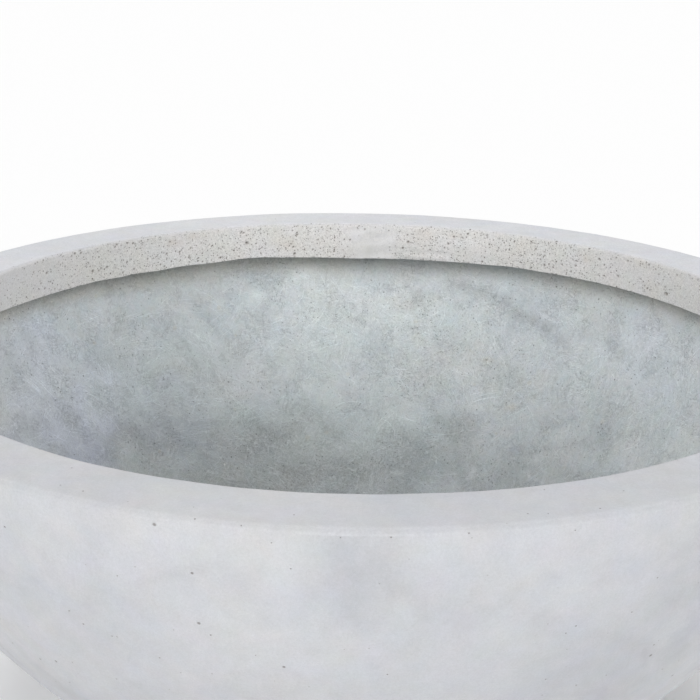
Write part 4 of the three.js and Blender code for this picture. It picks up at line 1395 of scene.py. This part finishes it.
for d, z, ang, bend, length, n, gap in swirls:
    for k in range(n):
        off = (k - (n - 1) / 2) * gap + rng.normal(0, 0.3)
        seen_strands.append(
            (
                d + math.degrees(-math.sin(ang) * off / 272.0) + rng.normal(0, 0.4), t_of_z(z) + math.cos(ang) * off + rng.normal(0, 0.8),
                ang + rng.normal(0, 0.05), bend * (1 + 0.1 * off) + rng.normal(0, 0.003), length * rng.uniform(0.7, 1.1),
                rng.uniform(0.5, 0.8), rng.uniform(0.10, 0.22),
            )
        )  # fmt: skip
air_holes = [(d, t_of_z(z), 0.0, 0.0, 1.7 * r, 2.0 * r, 0.04) for d, z, r in seen_dots]
upper = strands(301, 430, 1500, (10.0, 112.0), air_holes + seen_strands)
lower = strands(302, 350, 1300, (100.0, LEN - 6.0))
both = upper + lower
split = 108.0
count_dots = len(air_holes)
count_seen = count_dots + len(seen_strands)
strand_a = strand_mesh(
    "fibre_strands_upper", both, on_wall, lambda d, t: (t.min(1) > 9) & (t.mean(1) < split), count_seen, undercut_shade, count_dots
)
strand_b = strand_mesh(
    "fibre_strands_lower", both, on_wall, lambda d, t: (t.mean(1) >= split) & (t.max(1) < LEN - 7), count_seen, undercut_shade, count_dots
)
for ob in (strand_a, strand_b):
    piece(ob, WALL, "wall_fibre_concrete", "bowl", "wall_backing")


def on_floor(x, y):
    p = np.stack([x, y, np.full_like(x, FLOOR_Z)], -1)
    r = np.hypot(x, y)
    p[..., 2] += smooth(r, DRAIN_R + 0.5, DRAIN_R + 14) * (
        -0.25 + 0.5 * fbm(p, 48, 2, 151) + 0.2 * fbm(p, 14, 2, 153) + 0.1 * fbm(p, 6, 2, 155)
    )
    n = np.zeros_like(p)
    n[..., 2] = 1.0
    return p, n, r


rng = np.random.default_rng(303)
floor_lines = []
for _ in range(900):
    cx, cy = rng.uniform(-108, 108, 2)
    ang, bend, length = rng.uniform(0, math.pi), rng.normal(0, 0.04), rng.uniform(10, 28)
    for k in range(int(rng.integers(1, 4))):
        s = np.linspace(-0.5, 0.5, STEPS) * length
        a = ang + bend * s + rng.normal(0, 0.05)
        x = cx - math.sin(ang) * k * 2.0 + np.cumsum(np.cos(a)) * length / STEPS
        y = cy + math.cos(ang) * k * 2.0 + np.cumsum(np.sin(a)) * length / STEPS
        floor_lines.append((x, y, rng.uniform(0.35, 0.75), rng.uniform(0.1, 0.24)))
strand_c = strand_mesh(
    "fibre_strands_floor",
    floor_lines,
    on_floor,
    lambda x, y: (np.hypot(x, y).max(1) < 100) & (np.hypot(x, y).min(1) > 24),
)
piece(strand_c, FLOOR, "floor_fibre_concrete", "bowl", "floor_backing")

# ---------------------------------------------------------------------------
# Foot ring with its four weep notches
# ---------------------------------------------------------------------------
cols = 1440
theta = np.arange(cols) * TAU / cols
FR0, FR1, FZ1 = 104.0, 138.0, 10.6
prof = []
for zz in np.linspace(FZ1, 2.2, 9):
    prof.append((FR1 + (0.9 * (zz / FZ1) ** 6), zz))
for a in np.linspace(0, 90, 7)[1:]:
    c, s = math.cos(math.radians(a)), math.sin(math.radians(a))
    prof.append((FR1 - 2.2 + 2.2 * c, 2.2 - 2.2 * s))
for rr in np.linspace(FR1 - 2.2, FR0 + 2.2, 18)[1:]:
    prof.append((rr, 0.0))
for a in np.linspace(0, 90, 7)[1:]:
    c, s = math.cos(math.radians(a)), math.sin(math.radians(a))
    prof.append((FR0 + 2.2 - 2.2 * s, 2.2 - 2.2 * c))
for zz in np.linspace(2.2, FZ1, 7)[1:]:
    prof.append((FR0, zz))
prof = np.array(prof)
foot = polar(prof[:, :1], theta[None, :], prof[:, 1:2])
gap = np.zeros(foot.shape[:2])
for turn in (45, 135, 225, 315):
    ux, uy = math.sin(math.radians(turn)), math.cos(math.radians(turn))
    side = np.abs(foot[..., 0] * uy - foot[..., 1] * ux)
    ahead = (foot[..., 0] * ux + foot[..., 1] * uy) > 0
    gap = np.maximum(gap, np.where(ahead, 1 - smooth(side, 13.4, 16.0), 0.0))
worn = (1 - smooth(foot[..., 2], 0.2, 2.6)) * (1 - gap)
raise_to = 4.0 * gap
foot[..., 2] = np.where(foot[..., 2] < 4.0 + 2.0, foot[..., 2] + (raise_to * (1 - foot[..., 2] / 6.0)), foot[..., 2])
chips = (0.5 * fbm(foot, 6, 3, 201) - 0.25).clip(0, 1) * hump(foot[..., 2], 0.8, 1.4)
foot[..., 2] += chips
rough_side = 0.15 * fbm(foot, 16, 3, 203)
rad = np.hypot(foot[..., 0], foot[..., 1])
foot[..., 0] *= 1 + rough_side / rad
foot[..., 1] *= 1 + rough_side / rad
foot[..., 2] = np.maximum(foot[..., 2], 0.0)
foot_ob = shell("foot_ring_cast", foot, len(prof), strips=4, attrs={"worn": worn})
piece(foot_ob, FOOT, "foot_concrete", "bowl", "foot_ring")

# ---------------------------------------------------------------------------
# Rubber drain plug
# ---------------------------------------------------------------------------
cols = 96
theta = np.arange(cols) * TAU / cols
prof = [(2.0, 40.0 - 8.7)]
edge = [
    (0.6, 31.25), (4.0, 31.3), (9.0, 31.3), (13.0, 31.25), (15.2, 31.1), (16.2, 30.75), (17.0, 30.75), (17.8, 31.05),
    (18.7, 31.0), (19.5, 30.6), (19.95, 29.9), (20.0, 29.0), (19.95, 28.2), (19.6, 27.6), (18.9, 27.3), (16.0, 27.3),
    (13.0, 27.3), (12.2, 27.0), (12.0, 26.2), (12.0, 24.5), (12.25, 24.0), (12.25, 23.4), (12.0, 22.9), (11.9, 20.5),
    (12.1, 20.0), (12.1, 19.4), (11.85, 18.9), (11.7, 16.0), (11.5, 13.0), (11.3, 11.9), (10.8, 11.2), (9.8, 11.0),
    (6.0, 11.3), (0.6, 11.5),
]  # fmt: skip
# Rounded by cutting its corners twice
line = np.array(edge)
for _ in range(2):
    a, b = line[:-1], line[1:]
    line = np.concatenate([line[:1], np.stack([a * 0.75 + b * 0.25, a * 0.25 + b * 0.75], 1).reshape(-1, 2), line[-1:]])
bm = bmesh.new()
rings = []
for r_, z_ in line:
    ring = [bm.verts.new((r_ * math.sin(a) * MM, r_ * math.cos(a) * MM, z_ * MM)) for a in theta]
    rings.append(ring)
for ra, rb in zip(rings, rings[1:], strict=False):
    for k in range(cols):
        bm.faces.new((ra[k], ra[(k + 1) % cols], rb[(k + 1) % cols], rb[k]))
bm.faces.new(rings[0])
bm.faces.new(list(reversed(rings[-1])))


def tab_point(u, v, w):
    """The grip: a rounded upright tab, wider at its foot, with a waist for the fingers."""
    x, y, z = u * 12.0, v * 2.75, 30.6 + w * 9.5
    flare = 1.0 + 0.10 * (1 - w) ** 2
    waist = 1.0 - 0.18 * math.exp(-(((w - 0.45) / 0.28) ** 2)) * (1 - 0.5 * abs(u))
    return x * flare, y * (1 + 0.35 * (1 - w) ** 3) * waist, z


tab = bmesh.new()
bmesh.ops.create_cube(tab, size=2.0)
bmesh.ops.subdivide_edges(tab, edges=tab.edges[:], cuts=11, use_grid_fill=True)
for v in tab.verts:
    x, y, z = v.co
    # A rounded box from a cube: its corners are drawn in
    k = 0.26
    px, py, pz = x, y, z
    ax, ay, az = abs(px), abs(py), abs(pz)
    cx = max(ax - (1 - k), 0) / k
    cz = max(az - (1 - k), 0) / k
    cy = max(ay - 0.45, 0) / 0.55
    over = math.sqrt(cx * cx + cz * cz + cy * cy)
    if over > 1:
        cx, cy, cz = cx / over, cy / over, cz / over
    fx = math.copysign((1 - k) + k * cx if ax > 1 - k else ax, px) if px else 0.0
    fz_ = math.copysign((1 - k) + k * cz if az > 1 - k else az, pz) if pz else 0.0
    fy = math.copysign(0.45 + 0.55 * cy if ay > 0.45 else ay, py) if py else 0.0
    w = (fz_ + 1) / 2
    qx, qy, qz = tab_point(fx, fy, w)
    if az < 0.86 and ay > 0.9 and abs(px) < 0.8:  # grip ribs
        qy += math.copysign(0.16 * math.cos(w * 9.5 * 2.9), qy)
    v.co = (qx * MM, qy * MM, qz * MM)
tab_mesh = bpy.data.meshes.new("tab")
tab.to_mesh(tab_mesh)
tab.free()
bm.from_mesh(tab_mesh)
bpy.data.meshes.remove(tab_mesh)
bmesh.ops.recalc_face_normals(bm, faces=bm.faces[:])
plug_mesh = bpy.data.meshes.new("drain_plug_moulded")
bm.to_mesh(plug_mesh)
bm.free()
plug_mesh.polygons.foreach_set("use_smooth", np.ones(len(plug_mesh.polygons), bool))
store = plug_mesh.attributes.new("up", "FLOAT", "POINT")
nn = np.empty(len(plug_mesh.vertices) * 3, np.float32)
plug_mesh.vertices.foreach_get("normal", nn)
store.data.foreach_set("value", np.clip(nn.reshape(-1, 3)[:, 2], 0, 1).astype(np.float32))
plug_mesh.update()
plug = bpy.data.objects.new("drain_plug_moulded", plug_mesh)
bpy.context.scene.collection.objects.link(plug)
piece(plug, RUBBER, "plug_rubber", "plug", "drain_plug")

# ---------------------------------------------------------------------------
# Floor, light and camera
# ---------------------------------------------------------------------------
me = bpy.data.meshes.new("studio_floor")
me.from_pydata([(-32, -32, 0), (32, -32, 0), (32, 32, 0), (-32, 32, 0)], [], [(0, 1, 2, 3)])
studio = bpy.data.objects.new("studio_floor", me)
bpy.context.scene.collection.objects.link(studio)
paper = bpy.data.materials.new("studio_floor")
paper.use_nodes = True
paper.node_tree.nodes["Principled BSDF"].inputs["Base Color"].default_value = (0.9, 0.9, 0.9, 1)
paper.node_tree.nodes["Principled BSDF"].inputs["Roughness"].default_value = 1.0
paper.node_tree.nodes["Principled BSDF"].inputs["Specular IOR Level"].default_value = 0.0
me.materials.append(paper)

SKY = 0.25  # light from all round
LIGHTS = [  # name, degrees round from the camera towards its right, degrees up, strength, degrees across
    ("softbox_right", 45, 20, 0.513, 34),
    ("softbox_left", -45, 26, 0.604, 36),
    ("softbox_back", 180, 55, 0.497, 36),
]
world = bpy.data.worlds.new("studio")
world.use_nodes = True
backdrop = world.node_tree.nodes["Background"]
backdrop.inputs["Color"].default_value = (1.0, 1.0, 1.0, 1)
path = world.node_tree.nodes.new("ShaderNodeLightPath")
bright = world.node_tree.nodes.new("ShaderNodeMapRange")
bright.inputs["To Min"].default_value = SKY
bright.inputs["To Max"].default_value = 1.0
world.node_tree.links.new(path.outputs["Is Camera Ray"], bright.inputs["Value"])
world.node_tree.links.new(bright.outputs["Result"], backdrop.inputs["Strength"])
bpy.context.scene.world = world
for name, around, rise, strength, wide in LIGHTS:
    lamp = bpy.data.lights.new(name, "SUN")
    lamp.energy = strength * math.pi
    lamp.angle = math.radians(wide)
    ob = bpy.data.objects.new(name, lamp)
    bpy.context.scene.collection.objects.link(ob)
    a, e = math.radians(around), math.radians(rise)
    towards = Vector((math.sin(a) * math.cos(e), -math.cos(a) * math.cos(e), math.sin(e)))
    ob.rotation_mode = "QUATERNION"
    ob.rotation_quaternion = towards.to_track_quat("Z", "Y")

bpy.context.scene.view_settings.view_transform = "Standard"
bpy.context.scene.view_settings.look = "None"
bpy.context.scene.view_settings.exposure = 0.0
bpy.context.scene.view_settings.gamma = 1.0

FOCAL_PX = 1478.0  # of a picture 700 pixels wide
pitch, yaw, roll = math.radians(17.903), math.radians(-0.342), math.radians(0.866)
ahead = Vector((math.sin(yaw) * math.cos(pitch), math.cos(yaw) * math.cos(pitch), -math.sin(pitch)))
right = Vector((math.cos(yaw), -math.sin(yaw), 0.0))
up = right.cross(ahead)
right, up = right * math.cos(roll) + up * math.sin(roll), up * math.cos(roll) - right * math.sin(roll)
cam = bpy.data.cameras.new("camera")
cam.sensor_width = 36.0
cam.lens = FOCAL_PX / 700.0 * 36.0
cam.clip_start, cam.clip_end = 0.01, 200.0
cam_ob = bpy.data.objects.new("camera", cam)
bpy.context.scene.collection.objects.link(cam_ob)
turn = Matrix((right, up, -ahead)).transposed().to_4x4()
cam_ob.matrix_world = Matrix.Translation((0.0, -0.8588, 0.4986)) @ turn
bpy.context.scene.camera = cam_ob

bpy.context.view_layer.update()
